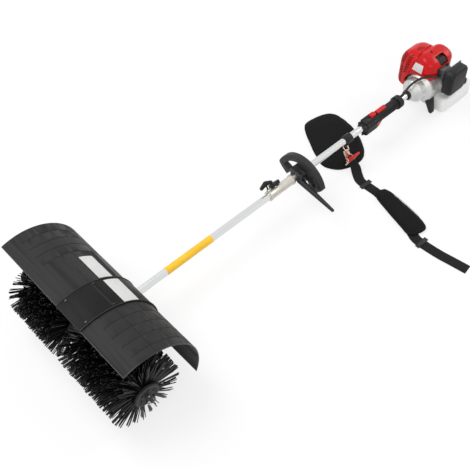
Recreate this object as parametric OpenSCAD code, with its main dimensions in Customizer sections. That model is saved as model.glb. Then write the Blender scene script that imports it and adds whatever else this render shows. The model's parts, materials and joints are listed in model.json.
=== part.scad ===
// Power brush sweeper: two brush drums under a hood, a split boom with two handles,
// a small two-stroke engine and a shoulder harness, lying ready on a flat floor.
// Lengths are in millimetres. The boom runs along +Y from the drums to the engine,
// the drum axle along X, and the floor is at Z = 0.

/* [Brush drums] */
// Radius of the drums over the bristle tips
drum_r = 125; // [118:1:135]
// Length of one drum
drum_len = 268; // [220:1:268]
// Outer radius of the core tube
core_r = 26; // [24:1:29]
// Wall of the core tube
core_wall = 4; // [3:0.5:6]
// Radius of the hub disc at the outer end
hub_r = 43; // [38:1:50]
// Thickness of the hub disc
hub_t = 8; // [6:1:12]
// Rows of bristle bundles along one drum
bristle_rows = 14; // [12:1:15]
// Bristle bundles around one row
bristles_round = 15; // [13:1:16]
// Half width of a bristle bundle at its root
bristle_w = 3; // [2:0.5:3.5]

/* [Gear case and axle] */
// Radius of the drum axle
axle_r = 8; // [7:0.5:9]
// Free end of the axle beyond the hub disc
axle_end = 26; // [24:1:40]
// Width of the gear case between the drums
case_w = 64; // [64:1:76]
// Outer radius of the gear case
case_r = 46; // [46:1:54]
// Wall of the gear case
case_wall = 8; // [6:0.5:8]
// Pitch radius of the ring gear
ring_pitch_r = 32; // [30:0.5:32]
// Teeth on the ring gear
ring_teeth = 30; // [30]
// Teeth on the pinion
pinion_teeth = 12; // [12]

/* [Hood] */
// Outer radius of the hood panels
hood_r = 192; // [180:1:205]
// Thickness of a hood panel
hood_wall = 3; // [2:0.5:4]
// Half of the hood's width
hood_half = 303; // [290:1:320]
// Angle of the rear edge, from level behind the axle
hood_rear_deg = -23; // [-30:1:-15]
// Angle of the front edge, over the top
hood_front_deg = 106.5; // [95:0.5:115]
// Where the raised middle panel starts
saddle_from = -9; // [-30:1:0]
// Where the raised middle panel ends
saddle_to = 109; // [95:1:130]
// Depth of the grooves moulded into the outer panels
groove_d = 0.9; // [0.4:0.1:1.5]

/* [Boom] */
// Distance from the drum axle to the engine's rubber ring
boom_len = 1531; // [1500:1:1600]
// Outer radius of the boom tubes
tube_r = 13; // [12:0.5:14]
// Wall of the boom tubes
tube_wall = 1.5; // [1:0.25:2.5]
// Radius of the drive shaft inside the boom
shaft_r = 4; // [3.5:0.25:4.5]
// Distance of the coupler sleeve beyond the middle of the boom
coupler_past = 12.5; // [0:0.5:25]
// Length of the coupler sleeve
coupler_len = 117; // [110:1:125]
// Outer radius of the coupler sleeve
coupler_r = 17; // [16:0.5:19]

/* [Loop handle] */
// Gap from the coupler sleeve to the clamp of the loop handle
clamp_gap = 20; // [12:1:35]
// Length of that clamp
clamp_len = 56; // [54:1:66]
// Outer radius of the loop
loop_r = 108; // [102:1:116]
// Depth of the loop's bar along the boom
loop_depth = 22; // [18:1:26]
// Reach of the barrier bar from the boom's middle
barrier_reach = 190; // [160:1:210]

/* [Throttle handle] */
// Gap from the throttle handle to the middle of the engine's rubber ring
throttle_gap = 45; // [35:1:60]
// Length of the throttle handle
throttle_len = 211; // [205:1:220]
// Radius of the rear grip
grip_r = 21; // [20:0.5:23]

/* [Engine] */
// Radius of the clutch and fan housing
fan_case_r = 62; // [60:1:66]
// Length of the clutch and fan housing
fan_case_len = 92; // [90:1:100]
// Length of the crankcase
crankcase_len = 75; // [72:1:84]
// Half width of the crankcase
crankcase_half = 46; // [44:1:48]
// Radius of the cylinder fins
fin_r = 42; // [38:1:43]
// Thickness of the moulded covers
cover_wall = 3; // [2:0.5:3.5]
// Radius of the recoil starter housing
starter_r = 51; // [47:1:51]
// Length of the recoil starter housing
starter_len = 50; // [46:1:56]
// Length of the fuel tank
tank_len = 187; // [170:1:195]
// Width of the fuel tank
tank_w = 172; // [160:1:180]

/* [Harness] */
// Length of the hip pad across the boom
pad_len = 290; // [260:1:310]
// Width of the hip pad along the boom
pad_w = 248; // [220:1:260]
// Thickness of the hip pad at its middle
pad_t = 17; // [14:1:20]
// Reach of the webbing from the hook to its free end
strap_reach = 600; // [560:1:640]
// Width of the webbing
strap_w = 40; // [34:1:46]
// Thickness of the webbing
strap_t = 2.5; // [2:0.25:3.5]
// Length of the shoulder pad
shoulder_len = 232; // [210:1:250]
// Width of the shoulder pad
shoulder_w = 80; // [70:1:90]
// Thickness of the shoulder pad
shoulder_t = 14; // [11:1:18]

/* [Fits] */
// Radial clearance of a running shaft
run_gap = 0.06; // [0.03:0.01:0.1]
// Clearance between pieces that are fastened together
fit_gap = 0.1; // [0.05:0.05:0.2]
// Clearance between pieces that move past each other
body_gap = 0.4; // [0.3:0.1:0.6]

/* [Hidden] */
$fn = 64;
// Overrun of every cut
over = 1;
// Facets of the rounded covers
soft_fn = 24;
// Floor to boom axis
shaft_h = drum_r;

// Places along the drum axle
case_half = case_w / 2;
core_in = case_half + body_gap;
core_out = core_in + drum_len;
axle_half = core_out + axle_end;
plate_t = 8;
sleeve_t = 3;
sleeve_gap = 0.3;
sleeve_len = drum_len - hub_t - 2 * sleeve_gap;
row_pitch = (drum_len - hub_t) / bristle_rows;
// Length of the far core left bare beside its hub
far_bare = 56;
bristle_splay_zone = 40;
bristle_splay_share = 0.35;
bristle_lean = 4;
bristle_lean_deg = 3;
bristle_short = 5;
bristle_tip_share = 0.8;
axle_tip_step = 2;
axle_tip_len = 12;
clip_out = 10;
clip_x = core_out + clip_out;
clip_r = 2.3;
clip_half = 15;
clip_ring_r = 11;
clip_wire_r = 1.3;
clip_ring_lift = 3;
clip_ring_z = clip_ring_lift - clip_half - clip_ring_r;

// Places in the gear case
case_split = 16;
case_lip = 2;
chamber_r = case_r - case_wall;
bearing_w = 8.3;
bearing_r = 16;
pinion_bearing_r = 14;
chamber_half = case_half - case_lip - bearing_w - fit_gap;
neck_r = 20;
neck_len = 66;
neck_grip = 50;
neck_end = case_r + neck_len;
neck_stop = neck_end - neck_grip;
axle_hole_r = axle_r + over;
shaft_hole_gap = 2;
shaft_hole_r = shaft_r + shaft_hole_gap;
case_screw_r = 2.5;
case_screw_head_r = 3.6;
case_screw_len = 24;
case_screw_sink = 4.6;
case_screw_place = case_r - case_wall / 2;

// Bevel gears share one apex on the axle
gear_ratio = ring_teeth / pinion_teeth;
ring_cone = atan(gear_ratio);
pinion_cone = 90 - ring_cone;
cone_len = ring_pitch_r / sin(ring_cone);
gear_face = 10;
cone_inner = cone_len - gear_face;
tooth_h = 2 * ring_pitch_r / ring_teeth;
addendum_share = 0.7;
dedendum_share = 1.15;
addendum_deg = atan(addendum_share * tooth_h / cone_len);
dedendum_deg = atan(dedendum_share * tooth_h / cone_len);
tooth_sink_deg = 1.5;
tip_share = 0.24;
root_share = 0.6;
ring_back = chamber_half - fit_gap;
ring_hub_r = 14;
ring_rim_t = 3.5;
ring_disc_back = cone_len * cos(ring_cone - dedendum_deg) + ring_rim_t;
pinion_hub_r = 7;
pinion_back = cone_len * cos(pinion_cone - dedendum_deg) + over;
pinion_gap = 0.5;
pinion_seat = chamber_r + pinion_gap;

// Hood details
lip_h = 9;
lip_deg = 1;
lip_inset = 35;
saddle_lift = 0.1;
saddle_t = 4;
far_overlap = 54;
near_overlap = 20;
groove_w = 2.5;
groove_half_deg = 0.37;
groove_line_share = 0.75;
groove_ring_shares = [0.2, 0.42, 0.64, 0.86];
groove_line_degs = [12, 32, 52, 72];
groove_from_deg = -10;
groove_to_deg = 92;
groove_margin = 4;
far_grid_share = 0.6;
tube_hole_gap = 3;
tube_hole_r = tube_r + tube_hole_gap;
bracket_len = 34;
bracket_from = hood_r - bracket_len;
bracket_flange_half = 38;
bracket_flange_h = 22;
bracket_flange_t = 5.5;
bracket_gap = 0.2;
bracket_face = sqrt(pow(hood_r - hood_wall, 2) - pow(bracket_flange_h, 2)) - bracket_gap;
bracket_wall = 7;
bracket_r = tube_r + bracket_wall;
hood_bolt_x = 26;
hood_bolt_r = 3;
hood_bolt_head_r = 6.5;
hood_bolt_head_h = 4;
hood_nut_r = 5.5;
hood_nut_h = 5;
rivet_r = 2.4;
rivet_head_r = 4;
rivet_head_h = 1.6;
rivet_degs = [10, 70, 98];

// Boom details
coupler_mid_share = 0.52;
coupler_at = boom_len / 2 + coupler_past;
lower_tube_from = neck_stop + fit_gap;
coupler_mid = coupler_at + coupler_len * coupler_mid_share;
coupler_end = coupler_at + coupler_len;
upper_tube_grip = 16;
upper_tube_end = boom_len + upper_tube_grip;
shaft_join = coupler_mid;
socket_r = 8;
socket_grip = 18;
bush_len = 20;
bush_shares = [0.18, 0.3, 0.42, 0.62, 0.76, 0.9];
knob_roll = 35;
pin_lead = 10;
pin_at = coupler_at + pin_lead;
pin_r = 3;
pin_tip = 11.8;
pin_boss_r = 7;
pin_boss_h = 6;
pin_boss_top = coupler_r + pin_boss_h;
pin_bar_at = 46;
pin_bar_len = 62;
pin_bar_r = 9;
pin_bar_droop = 7;
bar_tip_share = 0.75;
screw_lead = 42;
screw_at = coupler_at + screw_lead;
screw_r = 3;
screw_boss_r = 7;
screw_boss_h = 2;
screw_boss_top = coupler_r + screw_boss_h;
wing_hub_r = 12;
wing_len = 44;
wing_t = 12;
wing_h = 12;
coupler_rim = 2;
coupler_rim_len = 8;

// Loop handle details
clamp_at = coupler_end + clamp_gap;
loop_lead = 31;
loop_mid = clamp_at + loop_lead;
loop_drop = 40;
loop_bar = 24;
loop_end_shares = [[0.99, 0.28], [0.83, 0.09], [0.6, -0.08]];
hand_gap_in = 58;
hand_gap_degs = [97, 160];
slit_in = 66;
slit_out = 84;
slit_degs = [14, 48];
clamp_half = 28;
clamp_wall = 10;
clamp_top = tube_r + clamp_wall;
clamp_bolt_x = 21;
clamp_bolt_r = 2.5;
clamp_bolt_head_r = 4.2;
clamp_bolt_head_h = 4;
clamp_bolt_sink = 9;
clamp_bolt_low = 19;
clamp_seat = clamp_top - clamp_bolt_sink;
clamp_bolt_shares = [0.1, 0.9];
barrier_lead = 5;
barrier_at = clamp_at + barrier_lead;
barrier_root_r = 12;
barrier_tip_r = 6;
barrier_drop = 26;

// Throttle handle details
throttle_at = boom_len - throttle_gap - throttle_len;
front_len = 52;
grip_from = throttle_at + front_len;
throttle_end = throttle_at + throttle_len;
front_half = 20;
front_top = 27;
front_bottom = 38;
front_round = 9;
rear_flare = 5;
rear_flare_r = grip_r + rear_flare;
rear_flare_len = 22;
ridge_half = 11;
ridge_top = grip_r + rear_flare;
trigger_half = 4;
trigger_lead = 62;
trigger_pivot_y = throttle_at + trigger_lead;
trigger_pivot_drop = 29;
trigger_pin_r = 2;
trigger_len = 50;
trigger_drop = 26;
trigger_shares = [[-0.1, 0.19], [1, 0.15], [1.04, -0.23], [0.7, -1], [0.45, -1.07], [0.2, -0.27],
    [-0.1, -0.23]];
lever_half = 8;
lever_lead = 117;
lever_pivot_y = throttle_at + lever_lead;
lever_len = 45;
lever_h = 11;
lever_low = grip_r - over;
lever_high = grip_r + lever_h;
lever_pin_r = 1.8;
lever_pin_rise = 2.5;
lever_pivot_rise = grip_r + lever_pin_rise;
switch_half = 8;
switch_lead = 36;
switch_at = throttle_at + switch_lead;
switch_len = 24;
switch_travel = 6;
switch_root = 5;
switch_rise = 11;
switch_low = front_top - switch_root;
switch_high = front_top + switch_rise;
slot_gap = 0.5;
cable_r = 4;
cable_sides = 10;
cable_gap = 0.2;
cable_rise = 52;
cable_exit = 19;
// Route of the cable as shares of its side reach, its length along the boom and its rise
cable_shares = [[0, 0, 0], [0, 0.0737, 0], [0, 0.1548, 0.096], [0.017, 0.2734, 0.365],
    [0.083, 0.4107, 0.615], [0.233, 0.5481, 0.827], [0.467, 0.6729, 0.962], [0.733, 0.7603, 1],
    [0.933, 0.8352, 0.962], [1, 0.9226, 0.885], [1, 1, 0.885]];

// Hanger and hook details
hanger_len = 32;
hanger_gap = 73.5;
hanger_at = throttle_at - hanger_gap - hanger_len;
hanger_wall = 5;
hanger_r = tube_r + hanger_wall;
lug_t = 5;
lug_drop = 34;
lug_edge = 4;
lug_half = 11;
lug_hole_r = 5;
hook_wire_r = 2.2;
hook_ring_r = 14;
hook_ring_z = body_gap + hook_wire_r - hook_ring_r - lug_drop;
hook_y = hanger_at + hanger_len / 2;
hook_plate_t = 3;
hook_plate_half = 17;
hook_bar_half = 26;
hook_lean = 28;
hook_bar_rise = 8;
hook_bar_z = pad_t + hook_bar_rise - shaft_h;
strap_start_z = pad_t + hook_bar_rise;
tab_x = 31;
tab_lift = 19;
tab_z = hook_bar_z + tab_lift;
tab_len = 46;
tab_half = 12;
tab_t = 8;
tab_ear = 17;
tab_ear_t = 3;
tab_pin_r = 2;
tab_rise_deg = 60;
keeper_half = 15;
keeper_back = 8;
keeper_from = 6;
boot_lead_share = 0.6;

// Engine places along the boom
ring_t = 8;
ring_r = 19;
fan_from = boom_len + ring_t / 2 + fit_gap;
fan_to = fan_from + fan_case_len;
crank_to = fan_to + crankcase_len;
starter_to = crank_to + starter_len;

// Engine details
clutch_profile_shares = [[0.37, 0], [0.42, 0.17], [0.74, 0.34], [0.79, 0.63], [1, 0.76], [1, 1]];
fan_wall = 5;
fan_chamber_share = 0.76;
clutch_chamber_share = 0.36;
clutch_radius_share = 0.69;
fan_chamber_from = fan_from + fan_chamber_share * fan_case_len;
clutch_chamber_from = fan_from + clutch_chamber_share * fan_case_len;
clutch_chamber_r = clutch_radius_share * fan_case_r;
clutch_drum_gap = 4;
clutch_drum_r = clutch_chamber_r - clutch_drum_gap;
clutch_drum_wall = 3;
clutch_hub_r = 8.9;
clutch_hub_in = 13.5;
clutch_hub_from = fan_from + clutch_hub_in;
clutch_plate_t = 4;
clutch_plate_from = clutch_chamber_from + over;
clutch_rim_gap = 5;
clutch_rim_to = fan_chamber_from - clutch_rim_gap;
clutch_bearing_r = 17;
clutch_bearing_in = 15;
clutch_bearing_from = fan_from + clutch_bearing_in;
clutch_throat_r = 12;
shoe_gap = 1.5;
shoe_r = clutch_drum_r - clutch_drum_wall - shoe_gap;
shoe_from = clutch_plate_from + clutch_plate_t + 2 * shoe_gap;
shoe_to = clutch_rim_to - shoe_gap;
shoe_split = 4;
crank_r = 8;
crank_nose_r = 6;
fly_gap = 4;
fly_r = fan_case_r - fan_wall - fly_gap;
fly_from = fan_chamber_from + fly_gap;
fly_to = fan_to - fly_gap;
fly_disc_t = 6;
fly_hub_r = 16;
fan_blades = 12;
fan_blade_t = 3;
crankcase_drop = 52;
crankcase_top = 46;
flange_t = 6;
chamber_in = 10;
crank_chamber_r = 34;
crank_hole_r = 9.5;
web_r = 28;
web_in = 14;
web_t = 10;
crank_pin_r = 7;
crank_throw = 16;
tail_len = 8;
cyl_y = fan_to + crankcase_len / 2;
cyl_body_r = 30;
cyl_bore_r = 22;
cyl_top = 104;
fin_gap = 3;
fin_from = fan_case_r + fin_gap;
fin_t = 3;
fin_count = 5;
port_r = 12;
port_rise = 74;
port_out = 0.5;
port_face = fin_r + port_out;
boot_r = 8;
boot_rise = 14;
boot_len = 30;
muffler_gap = 1.5;
muffler_in = crankcase_half + muffler_gap;
muffler_w = 53;
muffler_low = -14;
muffler_high = 90;
muffler_front = 30;
muffler_rear = 28;
tail_pipe_r = 7;
tail_pipe_x = -76;
tail_pipe_rise = 16;
tail_pipe_out = 2;
carb_half = 18;
carb_low = 57;
carb_high = 92;
carb_out = 70;
carb_inset = 6;
choke_y = cyl_y + carb_half + body_gap;
cable_reach = 60;
cable_from = throttle_end + cable_gap;
cable_to = cyl_y - carb_half - cable_gap;
cable_route = [for (s = cable_shares) [s[0] * cable_reach, cable_from + s[1] * (cable_to - cable_from),
    shaft_h + cable_exit + s[2] * cable_rise]];
choke_x = 58;
choke_rise = 80;
choke_t = 4;
choke_boss_r = 6;
choke_pin_r = 2.5;
choke_arm = 24;
choke_arm_half = 3;
filter_in = 74;
filter_w = 38;
filter_lead = 8;
filter_from = cyl_y - carb_half + filter_lead;
filter_len = 106;
filter_low = -27;
filter_high = 86;
filter_round = 14;
filter_corner = 26;
cover_right = 50;
lobe_out = -114;
lobe_lead = 35;
lobe_from = fan_to - lobe_lead;
lobe_tail = 5;
lobe_to = crank_to + lobe_tail;
shell_tail = 35;
shell_to = crank_to + shell_tail;
lobe_low = -18;
lobe_high = 120;
lobe_slope = -12;
lobe_corner = 50;
lobe_round = 50;
dome_left = -36;
dome_lead = 23;
dome_from = fan_to - dome_lead;
dome_tail = 46;
dome_to = crank_to + dome_tail;
dome_low = 60;
dome_high = 137;
dome_slope = 20;
dome_corner = 38;
dome_round = 26;
grip_room_rise = 62;
window_past = 10;
window_half = 24;
window_low = 98;
window_depth = 34;
intake_half = 26;
starter_wall = 4;
starter_post_r = 6;
pulley_r = 34;
rope_r = 30;
rope_seat = 3;
pulley_t = 10;
pulley_gap = 18;
pulley_from = crank_to + pulley_gap;
rope_y = pulley_from + pulley_t / 2;
guide_half = 8;
guide_in = 36;
rope_hole_r = 3;
grip_gap = 0.3;
grip_bar_r = 7;
grip_bar_half = 28;
grip_stem_r = 6;
grip_stem_len = 16;
tank_lead = 37;
tank_from = fan_to + tank_lead;
tank_out = 98;
tank_floor = 1.5;
tank_corner = 26;
tank_rim = 13;
tank_wall = 3;
tank_top = -crankcase_drop - fit_gap;
filler_x = 70;
filler_back = 44;
filler_y = tank_from + tank_len - filler_back;
filler_r = 14;
filler_wall = 3;
filler_h = 10;
cap_r = 18;
cap_h = 17;
stand_half = 62;
stand_lead = 26;
stand_y = tank_from - stand_lead;
stand_len = 22;
stand_skid = 6;
stand_web_in = 8;
stand_top_t = 6;
stand_leg = 12;

// Harness details
strap_start_x = hook_lean + hook_wire_r + grip_gap;
strap_shares = [[0, 0], [0.038, 0], [0.078, -0.022], [0.132, -0.049], [0.212, -0.049],
    [0.287, -0.052], [0.445, -0.084], [0.598, -0.14], [0.662, -0.166], [0.74, -0.166],
    [0.828, -0.159], [0.9, -0.148], [1, -0.133]];
strap_fall_shares = [1, 0.75, 0.2, 0];
strap_lift = 0.2;
strap_low = strap_t / 2 + strap_lift;
slider_shares = [[0.172, -0.049], [0.7, -0.166]];
slider_len = 16;
slider_rim = 6;
slider_h = 3;
shoulder_shares = [[0.5, -0.12], [0.46, 0.36], [0.2, 0.5], [-0.3, 0.42], [-0.48, 0.3], [-0.5, -0.1],
    [-0.42, -0.36], [-0.1, -0.46], [0.36, -0.5], [0.47, -0.38]];
shoulder_place_shares = [0.458, -0.082];
shoulder_deg = -13;
pad_x = -105;
pad_past = 50.5;
pad_y = hook_y + pad_past;
pad_shares = [[0.505, -0.1], [0.45, 0.15], [0.18, 0.39], [-0.15, 0.5], [-0.4, 0.44], [-0.5, 0.1],
    [-0.42, -0.13], [0.05, -0.44], [0.25, -0.5], [0.43, -0.36]];
// Scale and height of the rings of a pad, as shares of its outline and thickness
pad_ring_shares = [[0.9, 0.01], [0.985, 0.1], [1, 0.25], [1, 0.45], [0.97, 0.6], [0.945, 0.52],
    [0.88, 0.72], [0.6, 0.95], [0.3, 1]];
shoulder_ring_shares = [[0.82, 0.01], [0.97, 0.2], [1, 0.4], [0.96, 0.6], [0.9, 0.52],
    [0.78, 0.86], [0.4, 1]];
spline_steps = 4;
corner_steps = 6;
rim_steps = 5;

// Middle of the whole model, which becomes the origin
middle_x = (strap_start_x + strap_reach - axle_half) / 2;
middle_y = (tank_from + tank_len - drum_r) / 2;

function unit(v) = v / norm(v);
function polar(r, a) = [r * cos(a), r * sin(a)];
// Spread between -1 and 1 that differs from bundle to bundle
function wobble(k) = sin(k * 137.5) * cos(k * 71.3);
// Closed smooth curve through the points of an outline
function curve(a, b, c, d, t) = 0.5 * (2 * b + (c - a) * t + (2 * a - 5 * b + 4 * c - d) * t * t
    + (3 * b - a - 3 * c + d) * t * t * t);
function smooth(p) = let (n = len(p)) [for (i = [0:n - 1], s = [0:spline_steps - 1])
    curve(p[(i + n - 1) % n], p[i], p[(i + 1) % n], p[(i + 2) % n], s / spline_steps)];
// Rings square to a route, each made from offsets to the side and up
function route_rings(route, offsets) = let (n = len(route)) [for (i = [0:n - 1])
    let (d = unit(route[min(i + 1, n - 1)] - route[max(i - 1, 0)]))
    let (u = unit(cross([0, 0, 1], d)), v = cross(d, u))
    [for (o = offsets) route[i] + o[0] * u + o[1] * v]];

module placed() {
    translate([-middle_x, -middle_y, 0]) children();
}
module on_axis() {
    translate([0, 0, shaft_h]) children();
}
module rod_x(r, from, to) {
    on_axis() translate([from, 0, 0]) rotate([0, 90, 0]) cylinder(r = r, h = to - from);
}
module rod_y(r, from, to) {
    on_axis() translate([0, from, 0]) rotate([-90, 0, 0]) cylinder(r = r, h = to - from);
}
module ring_x(inner, outer, from, to) {
    difference() {
        rod_x(outer, from, to);
        rod_x(inner, from - over, to + over);
    }
}
module ring_y(inner, outer, from, to) {
    difference() {
        rod_y(outer, from, to);
        rod_y(inner, from - over, to + over);
    }
}
// Pin across the boom
module pin_x(r, y, z, from, to) {
    on_axis() translate([from, y, z]) rotate([0, 90, 0]) cylinder(r = r, h = to - from);
}
// Pin along the boom, off its axis
module pin_y(r, x, z, from, to) {
    on_axis() translate([x, from, z]) rotate([-90, 0, 0]) cylinder(r = r, h = to - from);
}
module pin_z(r, x, y, from, to) {
    on_axis() translate([x, y, from]) cylinder(r = r, h = to - from);
}
// Box from its lowest to its highest corner, with heights measured from the boom's axis
module box(low, high) {
    on_axis() translate(low) cube(high - low);
}
module mirrored(side) {
    mirror([side < 0 ? 1 : 0, 0, 0]) children();
}
// Part of a shell round the drum axle
module arc_shell(inner, outer, x_from, x_to, deg_from, deg_to) {
    on_axis() rotate([0, 90, 0]) rotate([0, 0, deg_from + 90]) rotate_extrude(angle = deg_to - deg_from)
        translate([inner, x_from]) square([outer - inner, x_to - x_from]);
}
// Rounded block spanned by balls in its corners, with its top sloping down towards +X
module ball_block(low, high, r, slope = 0) {
    hull() for (x = [low.x + r, high.x - r], y = [low.y + r, high.y - r], z = [low.z + r, high.z - r])
        on_axis() translate([x, y, z - (z > low.z + r && x > low.x + r ? slope : 0)])
            sphere(r = r, $fn = soft_fn);
}
// Closed skin over a stack of rings, with a fan at each end
module skin(rings) {
    n = len(rings[0]);
    last = len(rings) - 1;
    points = [for (ring = rings) each ring];
    ends = [for (ring = [rings[0], rings[last]]) [for (c = [0:2])
        [for (p = ring) p[c]] * [for (p = ring) 1 / n]]];
    base = len(points);
    sides = [for (i = [0:last - 1], j = [0:n - 1]) let (k = (j + 1) % n)
        each [[i * n + j, (i + 1) * n + j, (i + 1) * n + k], [i * n + j, (i + 1) * n + k, i * n + k]]];
    start = [for (j = [0:n - 1]) [base, j, (j + 1) % n]];
    finish = [for (j = [0:n - 1]) [base + 1, last * n + (j + 1) % n, last * n + j]];
    polyhedron(concat(points, ends), concat(sides, start, finish));
}
// Outline of a rectangle with rounded corners
function round_rect(half_x, half_y, r) = [for (q = [0:3], t = [0:corner_steps])
    let (a = 90 * (q + t / corner_steps))
    [(q == 0 || q == 3 ? 1 : -1) * (half_x - r) + r * cos(a), (q < 2 ? 1 : -1) * (half_y - r) + r * sin(a)]];
// Block with rounded corners and softly rounded rims, from its lowest to its highest corner
module soft_block(low, high, corner_r, rim_r, open_low = 0, slope = 0) {
    half = (high - low) / 2;
    rims = [for (t = [0:rim_steps]) let (a = 90 * t / rim_steps) [rim_r * (1 - sin(a)), rim_r * (1 - cos(a))]];
    lower = open_low > 0 ? [[0, -open_low]] : [for (r = rims) [r[0], r[1]]];
    upper = [for (t = [rim_steps:-1:0]) [rims[t][0], 2 * half.z - rims[t][1]]];
    translate((low + high) / 2 - [0, 0, half.z])
        skin([for (r = concat(lower, upper))
            [for (p = round_rect(half.x - r[0], half.y - r[0], corner_r - r[0]))
                [p.x, p.y, r[1] - slope * r[1] / half.z * (p.x + half.x) / half.x / 4]]]);
}
// Pad lying on the floor: one outline stacked in rings
module soft_pad(outline, length, width, thick, rings) {
    edge = smooth(outline);
    skin([for (r = rings) [for (p = edge) [p.x * length * r[0], p.y * width * r[0], thick * r[1]]]]);
}

// Gear case
module case_screw_holes(r, from, to) {
    for (a = [45:90:315])
        on_axis() rotate([a, 0, 0]) translate([from, case_screw_place, 0]) rotate([0, 90, 0])
            cylinder(r = r, h = to - from);
}
module case_cavities() {
    rod_x(chamber_r, -chamber_half, chamber_half);
    rod_x(bearing_r + fit_gap, -chamber_half - bearing_w - fit_gap, chamber_half + bearing_w + fit_gap);
    rod_x(axle_hole_r, -case_half - over, case_half + over);
    case_screw_holes(case_screw_r + fit_gap, case_half - case_screw_len - case_screw_sink, case_half + over);
    case_screw_holes(case_screw_head_r + fit_gap, case_half - case_screw_sink, case_half + over);
}
module gear_case() placed() color("dimgray") difference() {
    union() {
        rod_x(case_r, -case_half, case_split);
        rod_y(neck_r, 0, neck_end);
    }
    case_cavities();
    rod_x(case_r + fit_gap, case_split, case_half + over);
    rod_y(pinion_bearing_r + fit_gap, 0, pinion_seat + bearing_w + fit_gap);
    rod_y(shaft_hole_r, 0, neck_end);
    rod_y(tube_r + fit_gap, neck_stop, neck_end + over);
}
module gear_case_cover() placed() color("gray") difference() {
    rod_x(case_r, case_split, case_half);
    case_cavities();
}
module cap_screws() placed() color("silver") {
    case_screw_holes(case_screw_r, case_half - case_screw_len, case_half - case_screw_sink + fit_gap);
    case_screw_holes(case_screw_head_r, case_half - case_screw_sink + fit_gap, case_half - fit_gap);
    clamp_bolts(clamp_bolt_r, -clamp_bolt_low, clamp_seat);
    clamp_bolts(clamp_bolt_head_r, clamp_seat, clamp_seat + clamp_bolt_head_h);
}

// Brush drums
module drum_axle() placed() color("silver") difference() {
    union() {
        rod_x(axle_r, axle_tip_len - axle_half, axle_half - axle_tip_len);
        rod_x(axle_r - axle_tip_step, -axle_half, axle_half);
    }
    for (side = [-1, 1])
        pin_z(clip_r + run_gap, side * clip_x, 0, -axle_r - over, axle_r + over);
}
function bevel_point(length, deg, turn) = length * [sin(deg) * cos(turn), sin(deg) * sin(turn), cos(deg)];
module bevel_teeth(cone, teeth, phase) {
    pitch = 360 / teeth;
    root = cone - dedendum_deg - tooth_sink_deg;
    tip = cone + addendum_deg;
    corners = [[root, -root_share], [root, root_share], [tip, tip_share], [tip, -tip_share]];
    for (i = [0:teeth - 1])
        polyhedron([for (length = [cone_len, cone_inner], c = corners)
                bevel_point(length, c[0], phase + (i + c[1] / 2) * pitch)],
            [[0, 1, 2, 3], [7, 6, 5, 4], [1, 0, 4, 5], [2, 1, 5, 6], [3, 2, 6, 7], [0, 3, 7, 4]]);
}
module bevel_blank(cone, bore, disc_back, hub_r, back) {
    root = cone - dedendum_deg;
    inner = cone_inner * [sin(root), cos(root)];
    outer = cone_len * [sin(root), cos(root)];
    rotate_extrude()
        polygon([[bore, inner[1]], inner, outer, [outer[0], disc_back], [hub_r, disc_back], [hub_r, back],
            [bore, back]]);
}
module ring_gear() placed() color("darkgray") on_axis() rotate([0, -90, 0]) {
    bevel_blank(ring_cone, axle_r + fit_gap, ring_disc_back, ring_hub_r, ring_back);
    bevel_teeth(ring_cone, ring_teeth, 90 + 180 / ring_teeth);
}
module pinion_gear() placed() color("darkgray") on_axis() rotate([-90, 0, 0]) {
    bevel_blank(pinion_cone, shaft_r + fit_gap, pinion_back, pinion_hub_r, pinion_seat - body_gap);
    bevel_teeth(pinion_cone, pinion_teeth, 180);
}
module ball_bearings() placed() color("lightsteelblue") {
    for (side = [-1, 1])
        mirrored(side) ring_x(axle_r + run_gap, bearing_r, chamber_half, chamber_half + bearing_w);
    ring_y(shaft_r + run_gap, pinion_bearing_r, pinion_seat, pinion_seat + bearing_w);
    ring_y(clutch_hub_r + run_gap, clutch_bearing_r, clutch_bearing_from, clutch_bearing_from + bearing_w);
    for (y = [fan_to + chamber_in - bearing_w, crank_to - chamber_in])
        ring_y(crank_r + run_gap, clutch_bearing_r, y, y + bearing_w);
}
module drum_core(side) color("dimgray") mirrored(side) difference() {
    union() {
        rod_x(core_r, core_in, core_out);
        rod_x(hub_r, core_out - hub_t, core_out);
    }
    rod_x(core_r - core_wall, core_in + plate_t, core_out - hub_t);
    rod_x(axle_r + fit_gap, core_in - over, core_out + over);
}
module left_drum_core() placed() drum_core(1);
module right_drum_core() placed() drum_core(-1);
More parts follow.
